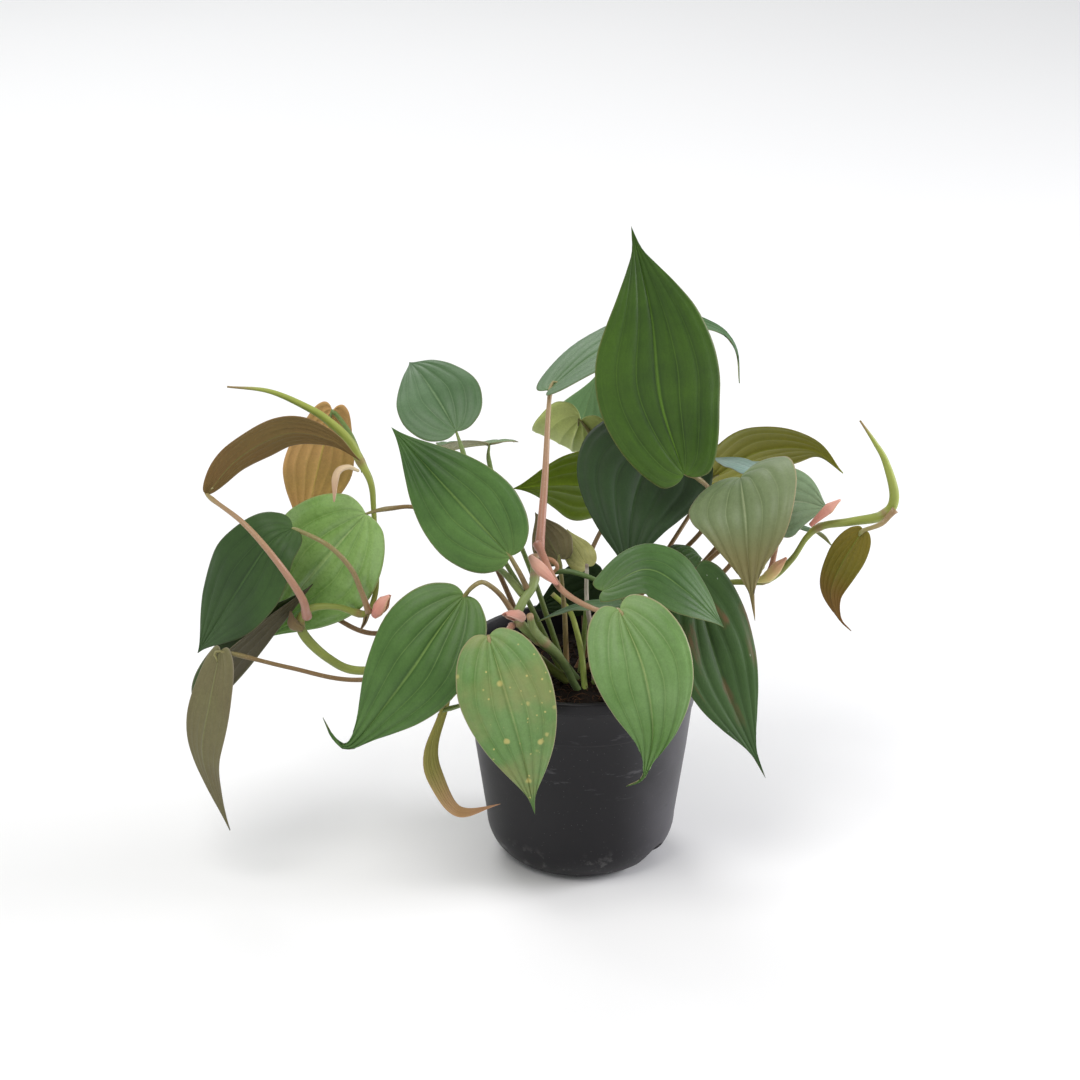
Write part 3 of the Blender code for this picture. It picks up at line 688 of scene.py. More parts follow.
def blade_body(blade):
    """Points, faces, chart and side of the whole blade, both its surfaces and its margin."""
    outline = blade.outline(BLADE_ROWS + 1)
    outline[:, 1] = np.maximum(outline[:, 1], 0.0)
    shares = [-c for c in COLUMNS[:0:-1]] + list(COLUMNS)
    width = len(shares)
    middle = np.zeros((BLADE_ROWS + 1, width, 3))
    for i, (far, half) in enumerate(outline):
        t = i / BLADE_ROWS
        start = t**VEIN_SPREAD
        for j, share in enumerate(shares):
            bend = abs(share) ** VEIN_BEND
            middle[i, j] = blade.at(start + (far - start) * bend, half * share)
    down = np.gradient(middle, axis=0)
    over = np.gradient(middle, axis=1)
    normals = np.cross(over, down)
    normals[0] = normals[1]
    normals[-1] = normals[-2]
    sizes = np.linalg.norm(normals, axis=2, keepdims=True)
    normals = normals / np.maximum(sizes, 1e-9)
    facing = blade.normals[len(blade.normals) // 3]
    if (normals[BLADE_ROWS // 3, width // 2] * facing).sum() < 0:
        normals = -normals
    top = middle.copy()
    under = middle.copy()
    for i in range(BLADE_ROWS + 1):
        t = i / BLADE_ROWS
        swell = math.sin(math.pi * min(t, 1.0)) ** 0.6
        for j, share in enumerate(shares):
            reach = abs(share) * outline[i, 1] * blade.half_width
            puff = QUILT * blade.relief * blade.half_width / QUILT_SCALE * quilt(abs(share)) * swell
            half = BLADE_THICKNESS / 2 * (0.45 if abs(share) == 1.0 else 1.0)
            top[i, j] += normals[i, j] * (puff + half)
            under[i, j] += normals[i, j] * (puff - half - ridge(abs(share), reach, t))
    points = []
    chart = []
    side = []
    index = {}
    for level, surface in ((1.0, top), (0.0, under)):
        for i in range(BLADE_ROWS + 1):
            for j in range(width):
                if i in (0, BLADE_ROWS):
                    index[level, i, j] = index.get((level, i, 0), len(points))
                    if j:
                        continue
                    points.append(surface[i, width // 2])
                    chart.append((i / BLADE_ROWS, 0.5))
                else:
                    index[level, i, j] = len(points)
                    points.append(surface[i, j])
                    chart.append((i / BLADE_ROWS, 0.5 + shares[j] / 2))
                side.append(level)
    faces = []
    for i in range(BLADE_ROWS):
        for j in range(width - 1):
            corners = ((i, j), (i, j + 1), (i + 1, j + 1), (i + 1, j))
            up = tuple(dict.fromkeys(index[1.0, a, b] for a, b in corners))
            low = tuple(dict.fromkeys(index[0.0, a, b] for a, b in corners))
            faces += [up[::-1], low]
        for j, turn in ((0, 1), (width - 1, -1)):
            edge = (index[1.0, i, j], index[0.0, i, j], index[0.0, i + 1, j], index[1.0, i + 1, j])
            faces.append(tuple(edge[::turn]))
    return points, faces, chart, side


FINISHES = {}


def finish_of(maker, *words):
    """A material made once for each set of words."""
    if (maker, words) not in FINISHES:
        FINISHES[maker, words] = maker(*words)
    return FINISHES[maker, words]


def rooted(points):
    """The route with its foot carried on into the soil, or into the vine that it grows from."""
    first = np.array(points[0], float)
    back = unit(first - np.array(points[1], float))
    reach = SOIL_REACH if first[2] < ROOTED_BELOW else NODE_REACH
    return [first + back * reach, *points]


def leaf(name, slot, palette, tint, stalk, midrib, faces, width, thick=STALK_RADIUS, marks=None, **shape):
    """One leaf: its blade, and the stalk that runs into the midrib."""
    blade = Blade(midrib, faces, width, seed=len(name), **shape)
    points, sheets, chart, side = blade_body(blade)
    finish = finish_of(leaf_finish, palette, marks)
    make_piece(f"{name}.blade", points, sheets, chart, {"side": side}, finish, name, slot)
    base, tangent, normal = blade.frame(0.0)
    on, _, on_normal = blade.frame(0.05)
    route = [*rooted(stalk), base - normal * 0.5, on - on_normal * 0.7]
    count = max(12, round(route_length(route) / STALK_STEP))
    path = spline(route, count)
    shares = np.linspace(0, 1, count)
    radii = np.interp(shares, (0, KNEE, 1), (thick, STALK_TIP_RADIUS + 0.1, 0.35))
    radii += FOOT_SWELL * np.exp(-shares / FOOT_REACH) + KNEE_SWELL * bell(shares - KNEE, KNEE_REACH)
    body = tube_body(path, radii, STALK_SIDES)
    make_piece(f"{name}.stalk", *body, {}, finish_of(stalk_finish, tint), name, slot)


def make_leaves():
    # The crown and the leaves behind it
    leaf("crown_leaf", "leaf_green", "green", "brown",
         [(5, 10, 81), (28, 22, 110), (50, 20, 136), (53, 10, 155), (47, 2, 166)],
         [(41, 0, 169), (31, 0, 201), (27, 4, 236), (19, 14, 269)], (0.05, -0.95, 0.25), 51,
         lobes=0.45, neck=0.05, belly=0.78, tail=0.04, relief=1.3)
    leaf("arching_leaf", "leaf_green", "blue", "pink", [(-17, -7, 142), (-15, 10, 163)],
         [(-13, 30, 194), (8, 40, 207), (34, 46, 217), (54, 47, 214), (63, 45, 206), (65, 42, 192)],
         (-0.2, 0.05, 0.98), 38, thick=1.9, lobes=0.5, tail=0.1)
    leaf("lime_leaf", "young_stem", "lime", "brown",
         [(6, 23, 81), (20, 52, 104), (22, 64, 130), (15, 58, 146), (8, 51, 160)],
         [(0, 52, 172), (-3, 56, 161), (-3, 65, 153), (1, 73, 164), (7, 79, 182)], (0.3, 0.95, 0.0), 38,
         fold=4, curl=6, belly=0.85, ripple=0.3, relief=0.4)
    leaf("grey_leaf", "leaf_green", "blue", "green",
         [(-9, 4, 81), (-22, 2, 112), (-34, 0, 136), (-42, 2, 158)],
         [(-51, 14, 182), (-58, 24, 191), (-66, 40, 197), (-71, 53, 197)], (-0.2, -0.6, 0.8), 35,
         lobes=0.5)
    leaf("back_flat_leaf", "leaf_green", "sage", "green",
         [(-8, 10, 81), (-20, 14, 118), (-33, 20, 150), (-38, 33, 161)],
         [(-38, 40, 166), (-46, 56, 159), (-56, 76, 148)], (0.0, 0.35, 0.94), 34)
    leaf("dark_centre_leaf", "leaf_dark", "night", "brown",
         [(0, 10, 81), (14, 18, 110), (30, 36, 138), (38, 47, 160)],
         [(34, 42, 169), (24, 22, 157), (20, 6, 146), (19, -8, 127)], (0.0, -0.75, 0.65), 56)
    leaf("olive_back_leaf", "leaf_bronze", "moss", "brown", [(2, 18, 81), (2, 32, 112), (12, 44, 132)],
         [(19, 48, 141), (-5, 44, 146), (-28, 40, 146)], (0.1, 0.8, 0.5), 54)
    leaf("olive_right_leaf", "leaf_bronze", "olive", "brown", [(9, 16, 81), (34, 32, 118), (50, 48, 138)],
         [(55, 52, 146), (75, 54, 157), (96, 48, 160), (109, 42, 152)], (0.0, 0.75, 0.66), 42)
    # The middle
    leaf("mid_left_leaf", "leaf_green", "mid", "tan", [(-23, -26, 132), (-25, -29, 138)],
         [(-29, -32, 147), (-51, -28, 171), (-76, -12, 194)], (-0.1, -0.85, 0.5), 39, lobes=0.35,
         relief=1.4)
    leaf("small_grey_leaf", "leaf_bronze", "ash", "tan", [(-6, -2, 81), (-7, 0, 108)],
         [(-9, 2, 131), (-14, 6, 139), (-19, 10, 148)], (0.0, 0.9, 0.3), 18)
    leaf("small_pale_leaf", "young_stem", "butter", "green",
         [(0, 4, 81), (2, 5, 108)],
         [(2, 6, 126), (-3, 10, 133), (-6, 14, 139)], (0.3, -0.9, 0.2), 13)
    leaf("edge_on_leaf", "leaf_green", "blue", "green", [(6, -8, 81), (18, -20, 108)],
         [(16, -22, 121), (-1, -18, 118), (-18, -16, 111)], (0.0, 0.2, 0.97), 24)
    leaf("oblique_leaf", "leaf_green", "fern", "green", [(14, -10, 81), (24, -24, 112), (16, -40, 132)],
         [(8, -41, 136), (25, -39, 144), (40, -41, 136), (56, -41, 120)], (0.05, -0.3, 0.95), 29, lobes=0.6,
         belly=0.65)
    leaf("dark_low_leaf", "leaf_dark", "dark", "brown", [(19, 4, 81), (31, 4, 106), (37, 8, 121)],
         [(40, 10, 126), (45, 14, 128), (50, 17, 124)], (0.0, -0.3, 0.95), 16)
    leaf("inner_leaf", "leaf_dark", "night", "brown",
         [(14, 24, 81), (13, 24, 98), (11, 23, 107)],
         [(8, 22, 113), (-4, 22, 106), (-20, 22, 99)], (0.0, -0.95, 0.3), 22)
    leaf("sage_leaf", "leaf_green", "dusty", "brown",
         [(15, 0, 81), (36, -4, 108), (60, -3, 130), (67, -3, 150), (66, -8, 165)],
         [(63, -14, 173), (63, -26, 173), (64, -38, 165), (65, -44, 150), (68, -46, 125)],
         (-0.45, -0.3, 0.85), 47, lobes=0.8, tail=0.2, relief=1.6, marks="bronze_tip")
    leaf("round_right_leaf", "leaf_green", "pale", "brown", [(19, 13, 81), (46, 22, 114), (70, 16, 140)],
         [(76, 4, 154), (88, 2, 156), (100, 2, 153)], (0.2, -0.85, 0.5), 29)
    leaf("blue_strip_leaf", "leaf_green", "frost", "brown", [(14, 18, 81), (48, 32, 112), (72, 27, 148)],
         [(72, 23, 161), (63, 31, 161), (54, 39, 160)], (0.0, 0.1, 1.0), 18)
    leaf("low_right_leaf", "leaf_dark", "dark", "pink", [(11, -4, 81), (28, -11, 106), (39, -14, 123)],
         [(45, -16, 128), (54, -30, 100), (62, -34, 79), (75, -32, 48)], (0.25, -0.9, 0.35), 36, tail=0.1,
         marks="scorch")
    leaf("thin_right_leaf", "leaf_green", "blue", "pink", [(78, 6, 127), (80, 8, 136)],
         [(82, 8, 142), (94, 10, 140), (103, 12, 132)], (0.0, 0.3, 0.95), 15)
    leaf("hanging_right_leaf", "leaf_bronze", "rust", "tan", [(124, -5, 153), (121, -6, 150), (117, -8, 149)],
         [(113, -9, 148), (105, -10, 134), (101, -10, 121), (105, -9, 109), (110, -8, 103)],
         (0.6, 0.7, 0.2), 16, lobes=0.3, tail=0.1, marks="rust_tip")
    # The front
    leaf("front_left_leaf", "leaf_green", "mid", "tan",
         [(-28, -31, 122), (-32, -34, 130), (-36, -40, 137), (-40, -44, 141), (-44, -45, 139)],
         [(-47, -42, 134), (-58, -50, 121), (-70, -55, 104), (-91, -51, 74), (-99, -47, 73), (-104, -45, 82)],
         (-0.2, -0.8, 0.55), 43, lobes=0.3, tail=0.16, relief=1.5)
    leaf("front_spotted_leaf", "leaf_green", "sage", "pink", [(-29, -33, 116), (-33, -52, 119)],
         [(-37, -65, 127), (-31, -75, 110), (-24, -77, 83), (-19, -71, 52)],
         (-0.05, -0.95, 0.3), 37.5, lobes=0.4, tail=0.05, relief=1.7, marks="spots")
    leaf("front_right_leaf", "leaf_green", "sage", "pink", [(-17, -14, 142), (-9, -32, 133), (5, -46, 130)],
         [(14, -62, 137), (23, -76, 119), (27, -78, 94), (25, -74, 75), (23, -72, 68), (17, -70, 64)],
         (0.0, -0.9, 0.35), 39.5, thick=1.6, lobes=0.6, tail=0.16, relief=1.7)
    leaf("curled_low_leaf", "leaf_bronze", "straw", "green",
         [(-15, -18, 81), (-30, -46, 97), (-46, -48, 90)],
         [(-56, -46, 85), (-61, -48, 69), (-59, -48, 56), (-50, -48, 41), (-33, -45, 43)],
         (0.8, -0.3, 0.4), 11, ripple=0.2, marks="blush_tip")
    # The left trail
    leaf("brown_arch_leaf", "leaf_bronze", "brown", "pink",
         [(-111, -25, 119), (-112, -34, 130), (-121, -39, 148), (-134, -32, 161)],
         [(-150, -16, 167), (-137, -12, 181), (-118, -6, 189), (-101, -3, 185), (-89, -3, 176)],
         (-0.2, 0.75, 0.65), 25, thick=1.8, lobes=0.1, neck=0.3)
    leaf("tan_back_leaf", "leaf_bronze", "tan", "green",
         [(-89, 8, 170), (-93, 12, 180), (-98, 15, 187)],
         [(-101, 16, 190), (-107, 19, 166), (-115, 19, 132)], (0.0, 0.9, 0.35), 31,
         lobes=0.7, neck=0.3, belly=0.85)
    leaf("light_left_leaf", "leaf_green", "bright", "brown",
         [(-18, 6, 82), (-42, 4, 140), (-64, -8, 157), (-77, -12, 159)],
         [(-87, -11, 156), (-99, -6, 140), (-113, 1, 120), (-133, 8, 91)], (0.0, -0.85, 0.5), 49,
         lobes=0.4, belly=0.85, ripple=0.2)
    leaf("dark_left_leaf", "leaf_dark", "dark", "tan",
         [(-87, -18, 119), (-89, -19, 126), (-93, -21, 137), (-102, -23, 148)],
         [(-116, -16, 152), (-125, -20, 147), (-139, -18, 125), (-157, -8, 93)], (-0.5, -0.75, 0.4), 37,
         lobes=0.3, belly=0.8)
    leaf("hanging_left_leaf", "leaf_bronze", "ash", "brown",
         [(-22, -18, 81), (-38, -27, 97), (-60, -28, 95), (-92, -29, 91), (-118, -32, 98)],
         [(-145, -34, 106), (-149, -42, 88), (-153, -42, 66), (-150, -38, 46), (-144, -34, 25)],
         (0.5, 0.8, 0.2), 20,
         lobes=0.4)
    leaf("boat_left_leaf", "leaf_bronze", "dusk", "brown",
         [(-20, 4, 82), (-60, -6, 104), (-86, -8, 102), (-103, -3, 108), (-113, 8, 107), (-125, 14, 96),
          (-138, 10, 84), (-148, -2, 74)],
         [(-151, -13, 72), (-136, -15, 90), (-121, -14, 110), (-109, -10, 125)], (-0.72, -0.08, 0.69), 35,
         fold=60, curl=10, ripple=0.5)


# Vines, loose stalks and sheaths


def stem(name, slot, material, points, radii, nodes=(), sides=VINE_SIDES, root=True, part="stem"):
    """A vine or loose stalk. Nodes are the shares of its length where leaves spring, each a swollen ring."""
    route = rooted(points) if root else points
    count = max(16, round(route_length(route) / VINE_STEP))
    path = spline(route, count)
    shares = np.linspace(0, 1, count)
    widths = np.interp(shares, np.linspace(0, 1, len(radii)), radii)
    widths = np.convolve(np.pad(widths, 3, mode="edge"), np.ones(7) / 7, mode="valid")
    length = route_length(path)
    node = np.zeros(count)
    for place in nodes:
        gap = (shares - place) * length
        node += bell(gap, NODE_TINT)
        widths += NODE_SWELL * bell(gap, NODE_WIDTH) - SCAR_DEPTH * bell(gap, SCAR_WIDTH)
    body = tube_body(path, widths, sides)
    measure = np.repeat(np.clip(node, 0, 1), sides)
    return make_piece(f"{name}.{part}", *body, {"node": measure}, material, name, slot)


def make_stems():
    fresh = stem_finish("shoot_look", (150, 160, 72), (104, 116, 58), (140, 112, 76))
    pale = stem_finish("pale_vine_look", (150, 166, 104), (96, 124, 70), (176, 140, 112))
    dark = stem_finish("dark_stalk_look", (96, 120, 64), (70, 92, 52), (110, 100, 70))
    lime = stem_finish("yellow_stalk_look", (176, 190, 92), (140, 160, 80), (170, 160, 110))
    dead = stem_finish("dead_stalk_look", (206, 196, 184), (160, 144, 128), (120, 104, 88))
    stem("left_vine", "vine", fresh,
         [(-9, -6, 82), (-26, -12, 98), (-48, -16, 99), (-74, -18, 92), (-92, -20, 91), (-103, -19, 96),
          (-112, -18, 105), (-114, -17, 112), (-109, -16, 117), (-99, -15, 117), (-88, -13, 113),
          (-84, -12, 120), (-83, -9, 131), (-84, -4, 154), (-85, -1, 165), (-89, 2, 173), (-94, 4, 182),
          (-101, 5, 189), (-109, 5, 195), (-125, 4, 203), (-142, 4, 205)],
         (1.9, 1.8, 1.8, 1.7, 1.7, 1.7, 1.7, 1.7, 1.8, 1.8, 2.1, 1.8, 1.2, 1.5, 1.1, 1.0, 1.0, 1.1, 1.4, 2.0,
          1.8, 1.5, 1.2, 0.8, 0.35),
         (0.17, 0.445, 0.54, 0.775))
    stem("right_vine", "vine", fresh,
         [(8, 6, 82), (34, 12, 106), (58, 8, 117), (75, 0, 122), (85, -2, 132), (91, -2, 142), (97, -2, 147),
          (109, -2, 149), (122, 0, 151), (126, 0, 159), (122, 0, 174), (117, 0, 183), (111, 0, 192)],
         (1.4, 1.3, 1.3, 1.2, 1.2, 1.2, 1.2, 1.4, 1.4, 1.1, 1.5, 1.7, 2.1, 2.1, 1.6, 1.0, 0.35),
         (0.25, 0.45, 0.62, 0.765))
    stem("centre_vine", "vine", pale,
         [(-4, -5, 82), (-11, -12, 95), (-20, -22, 108), (-26, -29, 118), (-24, -28, 125), (-20, -24, 130),
          (-19, -17, 133), (-19, -11, 138)],
         (2.0, 1.9, 2.3, 2.0, 1.8, 2.0), (0.42, 0.62, 0.88))
    loop = stem_finish("tendril_look", (178, 134, 100), (150, 110, 80), (120, 92, 66))
    stem("centre_vine", "vine", loop,
         [(-19, -12, 133), (-16, -13, 137), (-12, -14, 137), (-10, -14, 134), (-12, -13, 131)],
         (1.1, 1.2, 1.0, 0.6), root=False, part="tendril")
    stem("centre_vine", "vine", pale, [(-35, -27, 141), (-30, -25, 135), (-24, -25, 127)],
         (1.0, 1.4, 1.6), root=False, part="shoot")
    stem("front_stem", "vine", pale,
         [(-3, -14, 82), (-9, -20, 97), (-17, -27, 109), (-20, -29, 115), (-21, -32, 121)],
         (1.6, 1.5, 1.9, 1.4), (0.66,))
    stem("yellow_stalk", "young_stem", lime,
         [(1, -10, 82), (0, -6, 92), (-2, 1, 99), (-5, 6, 106), (-12, 9, 112)], (1.3, 1.2, 1.0))
    stem("dark_stalk", "vine", dark, [(-14, -6, 128), (-5, -9, 130), (5, -10, 127), (10, -8, 123)],
         (1.0, 1.1, 0.8), root=False)
    stem("dead_stalk", "dry_sheath", dead, [(5, -6, 82), (4, -5, 100), (2, -4, 116), (2, -4, 131)],
         (0.9, 1.0, 0.7))


def husk(name, slot, material, points, radii, opening=70.0, sides=18, thickness=0.3, part="husk"):
    """A thin sheath wrapped round its path, open along one side."""
    count = max(14, round(route_length(points) / SHEATH_STEP))
    path = spline(points, count)
    widths = np.interp(np.linspace(0, 1, count), np.linspace(0, 1, len(radii)), radii)
    start = (0.0, 0.0, 1.0) if abs(unit(path[1] - path[0])[2]) < 0.9 else (0.0, 1.0, 0.0)
    along, normals = carried_normals(path, start)
    half = math.radians(360.0 - opening) / 2
    points = []
    chart = []
    for skin in (0.0, thickness):
        for i, centre in enumerate(path):
            across = np.cross(along[i], normals[i])
            t = i / (count - 1)
            for k in range(sides + 1):
                angle = half * (2 * k / sides - 1) * (1 - 0.45 * t**2)
                radius = max(widths[i] * (1 + 0.06 * math.sin(9 * angle + 5 * t)) - skin, 0.05)
                points.append(centre + radius * (math.cos(angle) * normals[i] + math.sin(angle) * across))
                chart.append((t, k / sides))
    wide = sides + 1
    inner = count * wide
    faces = []
    for i in range(count - 1):
        for k in range(sides):
            a = i * wide + k
            faces.append((a, a + wide, a + wide + 1, a + 1))
            faces.append((inner + a, inner + a + 1, inner + a + wide + 1, inner + a + wide))
        for a, b in ((i * wide, (i + 1) * wide), ((i + 1) * wide + sides, i * wide + sides)):
            faces.append((a, inner + a, inner + b, b))
    for k in range(sides):
        last = (count - 1) * wide + k
        faces.append((k, k + 1, inner + k + 1, inner + k))
        faces.append((last + 1, last, inner + last, inner + last + 1))
    return make_piece(f"{name}.{part}", points, faces, chart, {}, material, name, slot)


def make_sheaths():
    pink = husk_finish("pink_sheath_look", (206, 132, 118), (226, 168, 150), (190, 176, 120))
    bud = husk_finish("bud_sheath_look", (206, 206, 120), (226, 160, 136), (206, 202, 136))
    blush = husk_finish("blush_sheath_look", (214, 170, 148), (204, 142, 126), (224, 206, 190))
    dry = husk_finish("dry_sheath_look", (206, 190, 150), (196, 158, 130), (226, 214, 190))
    husk("dry_sheath", "dry_sheath", dry, [(-90, -4, 172), (-94, -10, 176), (-98, -15, 175), (-99, -17, 164)],
         (0.7, 1.1, 1.5, 0.4))
    husk("node_sheath", "sheath", pink, [(-84, -17, 114), (-81, -18, 118), (-77, -18, 123)],
         (1.6, 3.2, 3.4, 1.2))
    husk("right_sheath", "sheath", pink, [(92, -6, 149), (97, -6, 154), (104, -6, 160)], (0.9, 1.6, 2.4, 0.7))
    husk("bud_sheath", "sheath", bud, [(71, -7, 125), (75, -8, 127), (79, -8, 131), (83, -7, 135)],
         (0.9, 2.3, 2.6, 0.8), opening=30.0)
    knob = husk_finish("node_bud_look", (126, 112, 70), (116, 92, 70), (150, 130, 96))
    husk("left_vine", "vine", knob, [(-113, -19, 109), (-117, -20, 112), (-118, -19, 117)],
         (1.3, 2.5, 0.7), opening=25.0, part="bud")
    husk("left_vine", "vine", knob, [(-87, -13, 114), (-88, -14, 110), (-90, -14, 106)],
         (1.4, 0.9, 0.3), opening=25.0, part="spur")
    husk("front_sheath", "sheath", blush, [(-24, -36, 122), (-27, -44, 126), (-31, -50, 129)],
         (1.6, 2.8, 2.6, 1.4))
    husk("centre_sheath", "sheath", blush, [(-21, -21, 142), (-17, -26, 139), (-10, -34, 135)],
         (1.0, 2.3, 2.4, 1.6, 0.7))


# Pot and soil


def wall_radius(height):
    """The pot's outer radius at a height, between the heel and the rim band."""
    share = (height - HEEL_HEIGHT) / (POT_HEIGHT - RIM_BAND - HEEL_HEIGHT)
    return HEEL_RADIUS + 1.0 + share * (RIM_RADIUS - RIM_LIP - HEEL_RADIUS - 1.0)


def lathe_body(profile, steps):
    """Points, faces and chart of a closed (radius, height) outline turned round the Z axis."""
    points = []
    chart = []
    rings = []
    for place, (radius, height) in enumerate(profile):
        if radius == 0.0:
            rings.append([len(points)] * steps)
            points.append((0.0, 0.0, height))
            chart.append((0.0, place / len(profile)))
            continue
        rings.append(list(range(len(points), len(points) + steps)))
        for k in range(steps):
            points.append(around(radius, 2 * math.pi * k / steps, height))
            chart.append((k / steps, place / len(profile)))
    faces = []
    for low, high in zip(rings, rings[1:]):
        for k in range(steps):
            after = (k + 1) % steps
            faces.append(tuple(dict.fromkeys((low[k], low[after], high[after], high[k]))))
    return points, [face for face in faces if len(face) > 2], chart


def cut(obj, points, faces):
    """Cuts a closed body out of a piece for good."""
    mesh = bpy.data.meshes.new("cutter")
    mesh.from_pydata((np.asarray(points) * MM).tolist(), [], faces)
    cutter = bpy.data.objects.new("cutter", mesh)
    bpy.context.scene.collection.objects.link(cutter)
    modifier = obj.modifiers.new("cut", "BOOLEAN")
    modifier.operation = "DIFFERENCE"
    modifier.object = cutter
    graph = bpy.context.evaluated_depsgraph_get()
    made = bpy.data.meshes.new_from_object(obj.evaluated_get(graph))
    obj.modifiers.remove(modifier)
    obj.data = made
    bpy.data.objects.remove(cutter, do_unlink=True)


def make_pot():
    ledge = POT_HEIGHT - LEDGE_DROP
    band = POT_HEIGHT - RIM_BAND
    heel = wall_radius(HEEL_HEIGHT)
    outside = []
    for k in range(HEEL_STEPS + 1):
        angle = math.pi / 2 * k / HEEL_STEPS
        outside.append(
            (FOOT_RADIUS + (heel - FOOT_RADIUS) * math.sin(angle), HEEL_HEIGHT * (1 - math.cos(angle)))
        )
    outside += [
        (wall_radius(30.0), 30.0),
        (wall_radius(50.0), 50.0),
        (wall_radius(ledge) - LEDGE_STEP, ledge - 1.0),
        (wall_radius(ledge) - LEDGE_STEP * 0.75, ledge - 0.6),
        (wall_radius(ledge) - LEDGE_STEP * 0.1, ledge - 0.15),
        (wall_radius(ledge), ledge + 0.3),
        (wall_radius(band) - 0.05, band - 0.7),
        (RIM_RADIUS - 0.75, band - 0.25),
        (RIM_RADIUS - 0.3, band),
        (RIM_RADIUS - 0.12, band + 0.5),
        (RIM_RADIUS - 0.05, POT_HEIGHT - 1.2),
        (RIM_RADIUS - 0.15, POT_HEIGHT - 0.5),
        (RIM_RADIUS - 0.4, POT_HEIGHT - 0.12),
        (RIM_RADIUS - 0.75, POT_HEIGHT),
    ]
    inside = [
        (RIM_RADIUS - 0.55 - WALL, POT_HEIGHT - 0.05),
        (RIM_RADIUS - 0.8 - WALL, POT_HEIGHT - 0.5),
        (wall_radius(band) - WALL, band - 2.0),
        (wall_radius(ledge) - LEDGE_STEP - WALL, ledge - 2.0),
        (heel - WALL, HEEL_HEIGHT),
        (FOOT_RADIUS + 8.5, FLOOR + 2.6),
        (FOOT_RADIUS - 0.5, FLOOR),
    ]
    profile = [(0.0, 0.0), *outside, *inside, (0.0, FLOOR)]
    body = lathe_body(profile, POT_STEPS)
    pot = make_piece("pot.shell", *body, {}, plastic_finish(), "pot", "pot_plastic")
    for k in range(DRAIN_HOLES):
        angle = 2 * math.pi * (k + 0.5) / DRAIN_HOLES
        path = np.array([around(DRAIN_RING, angle, height) for height in (-3.0, FLOOR + 3.0)])
        cut(pot, *tube_body(path, (DRAIN_HOLE_RADIUS,) * 2, DRAIN_HOLE_SIDES)[:2])
    for degrees in NOTCH_ANGLES:
        axis = NOTCH_HEIGHT - NOTCH_WIDTH / 2
        reaches = (FOOT_RADIUS + 2.0, HEEL_RADIUS + 6.0)
        path = np.array([around(reach, math.radians(degrees), axis) for reach in reaches])
        cut(pot, *tube_body(path, (NOTCH_WIDTH / 2,) * 2, NOTCH_SIDES)[:2])
    pot.data.shade_smooth()
    pot.data.set_sharp_from_angle(angle=math.radians(SHARP_ABOVE))


def soil_height(x, y):
    """The rough top of the soil at a place in the pot."""
    height = SOIL_TOP - SOIL_HUMP * (math.hypot(x, y) / SOIL_RADIUS) ** 2
    for pitch, layer, lift in SOIL_BUMPS:
        height += lift * noise.noise(Vector((x * pitch, y * pitch, layer)))
    return height


def make_soil():
    steps = SOIL_STEPS
    edge = wall_radius(SOIL_TOP) - WALL - 0.15
    base = FLOOR + 0.3
    heel = (wall_radius(HEEL_HEIGHT) - WALL - 1.2, HEEL_HEIGHT + 1.0)
    rings = [(edge * i / SOIL_RINGS, None) for i in range(1, SOIL_RINGS + 1)]
    points = [(0.0, 0.0, soil_height(0.0, 0.0))]
    for radius, height in (*rings, heel, (FOOT_RADIUS - 2.0, base)):
        for k in range(steps):
            x, y, _ = around(radius, 2 * math.pi * k / steps, height)
            points.append((x, y, soil_height(x, y) if height is None else height))
    points.append((0.0, 0.0, base))
    faces = []
    for k in range(steps):
        after = (k + 1) % steps
        faces.append((0, 1 + k, 1 + after))
        for i in range(SOIL_RINGS + 1):
            a = 1 + i * steps
            faces.append((a + k, a + steps + k, a + steps + after, a + after))
        last = len(points) - 1
        faces.append((last - steps + k, last, last - steps + after))
    chart = [(x / 100.0, y / 100.0) for x, y, _ in points]
    mix = soil_finish("soil_look", (17, 13, 11), (46, 34, 27), 480.0)
    make_piece("soil.bed", points, faces, chart, {}, mix, "soil", "soil")

    random = np.random.default_rng(7)
    crumbs = Shell()
    for _ in range(CRUMBS):
        x, y, _ = scattered(edge - 1.5, random)
        size = random.uniform(0.4, 1.5)
        crumbs.add(*crumb_body((x, y, soil_height(x, y) + size * 0.2), size, random))
    bark = soil_finish("soil_crumb_look", (26, 19, 15), (68, 50, 37), 900.0)
    crumbs.piece("soil.crumbs", bark, "soil", "soil")

    fibres = Shell()
    for _ in range(FIBRES):
        foot = np.array(scattered(edge - 7.0, random))
        turn = 2 * math.pi * random.random()
        reach = random.uniform(3.0, 8.0)
        heading = np.array(around(1.0, turn, 0.0))
        bend = np.array([-heading[1], heading[0], 0.0]) * random.uniform(-0.4, 0.4)
        route = []
        for t in (0.0, 0.35, 0.7, 1.0):
            spot = foot + (heading * t + bend * t * (1 - t) * 2) * reach
            lift = math.sin(math.pi * t) * random.uniform(0.2, 1.6)
            spot[2] = soil_height(spot[0], spot[1]) + lift
            route.append(spot)
        path = spline(route, 9)
        girth = random.uniform(0.09, 0.2)
        fibres.add(*tube_body(path, np.linspace(girth, girth * 0.5, 9), 5))
    straw = soil_finish("soil_fibre_look", (70, 46, 33), (128, 94, 68), 700.0)
    fibres.piece("soil.fibres", straw, "soil", "soil")


def scattered(reach, random):
    """A random place within a distance of the pot's axis."""
    radius = reach * math.sqrt(random.random())
    return around(radius, 2 * math.pi * random.random(), 0.0)


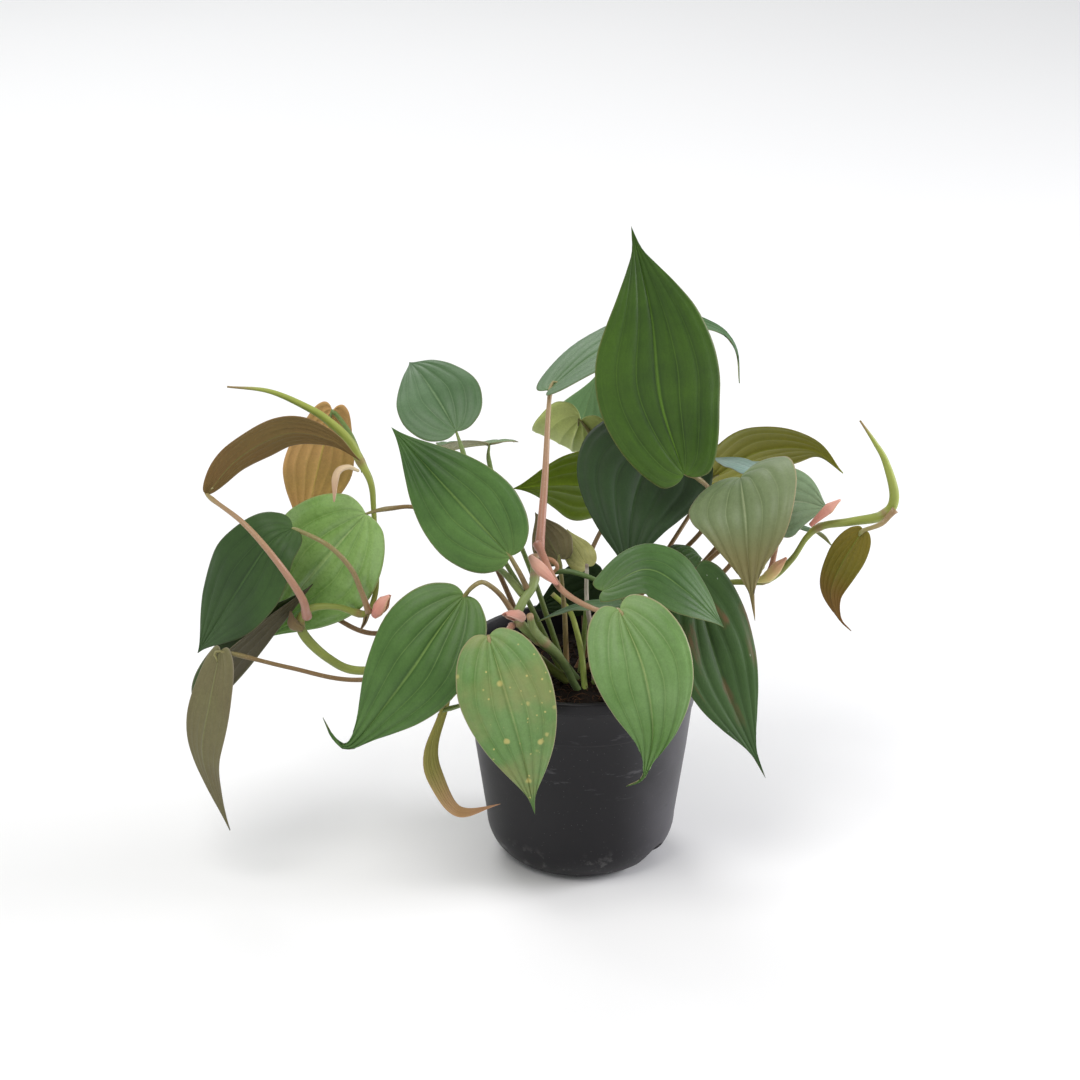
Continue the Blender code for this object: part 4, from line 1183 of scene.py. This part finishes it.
def crumb_body(centre, size, random):
    """One angular crumb of bark or peat: an octahedron with its corners moved about."""
    corners = [(1, 0, 0), (0, 1, 0), (-1, 0, 0), (0, -1, 0), (0, 0, 0.7), (0, 0, -0.7)]
    stretch = random.uniform(0.6, 1.5, 3)
    points = [np.array(centre) + np.array(c) * size * stretch * random.uniform(0.7, 1.2) for c in corners]
    faces = [(0, 1, 4), (1, 2, 4), (2, 3, 4), (3, 0, 4), (1, 0, 5), (2, 1, 5), (3, 2, 5), (0, 3, 5)]
    return points, faces, [(0.5, 0.5)] * len(points)


# The stage


def turned_to(aim, at):
    return (Vector(aim) - Vector(at)).to_track_quat("-Z", "Y").to_euler()


def area_light(name, at, size, power, colour):
    data = bpy.data.lights.new(name, "AREA")
    data.shape = "DISK"
    data.size = size
    data.energy = power
    data.color = colour
    obj = bpy.data.objects.new(name, data)
    obj.location = at
    obj.rotation_euler = turned_to(LIGHTS_AIM, at)
    bpy.context.scene.collection.objects.link(obj)


def make_stage():
    scene = bpy.context.scene
    mesh = bpy.data.meshes.new("floor")
    far = FLOOR_REACH
    mesh.from_pydata([(-far, -far, 0), (far, -far, 0), (far, far, 0), (-far, far, 0)], [], [(0, 1, 2, 3)])
    mesh.materials.append(floor_finish())
    floor = bpy.data.objects.new("floor", mesh)
    scene.collection.objects.link(floor)

    world = bpy.data.worlds.new("studio")
    world.use_nodes = True
    sky = world.node_tree.nodes["Background"].inputs
    sky["Color"].default_value = SKY_COLOUR
    sky["Strength"].default_value = SKY_STRENGTH
    scene.world = world

    for light in LIGHTS:
        area_light(*light)

    camera_data = bpy.data.cameras.new("camera")
    camera_data.lens = CAMERA_LENS
    camera_data.sensor_width = SENSOR_WIDTH
    camera_data.clip_start, camera_data.clip_end = CLIPPED
    camera = bpy.data.objects.new("camera", camera_data)
    camera.location = CAMERA_AT
    camera.rotation_euler = turned_to(CAMERA_AIM, CAMERA_AT)
    scene.collection.objects.link(camera)
    scene.camera = camera
    scene.view_settings.view_transform = "Standard"


make_stage()
make_pot()
make_soil()
make_stems()
make_sheaths()
make_leaves()
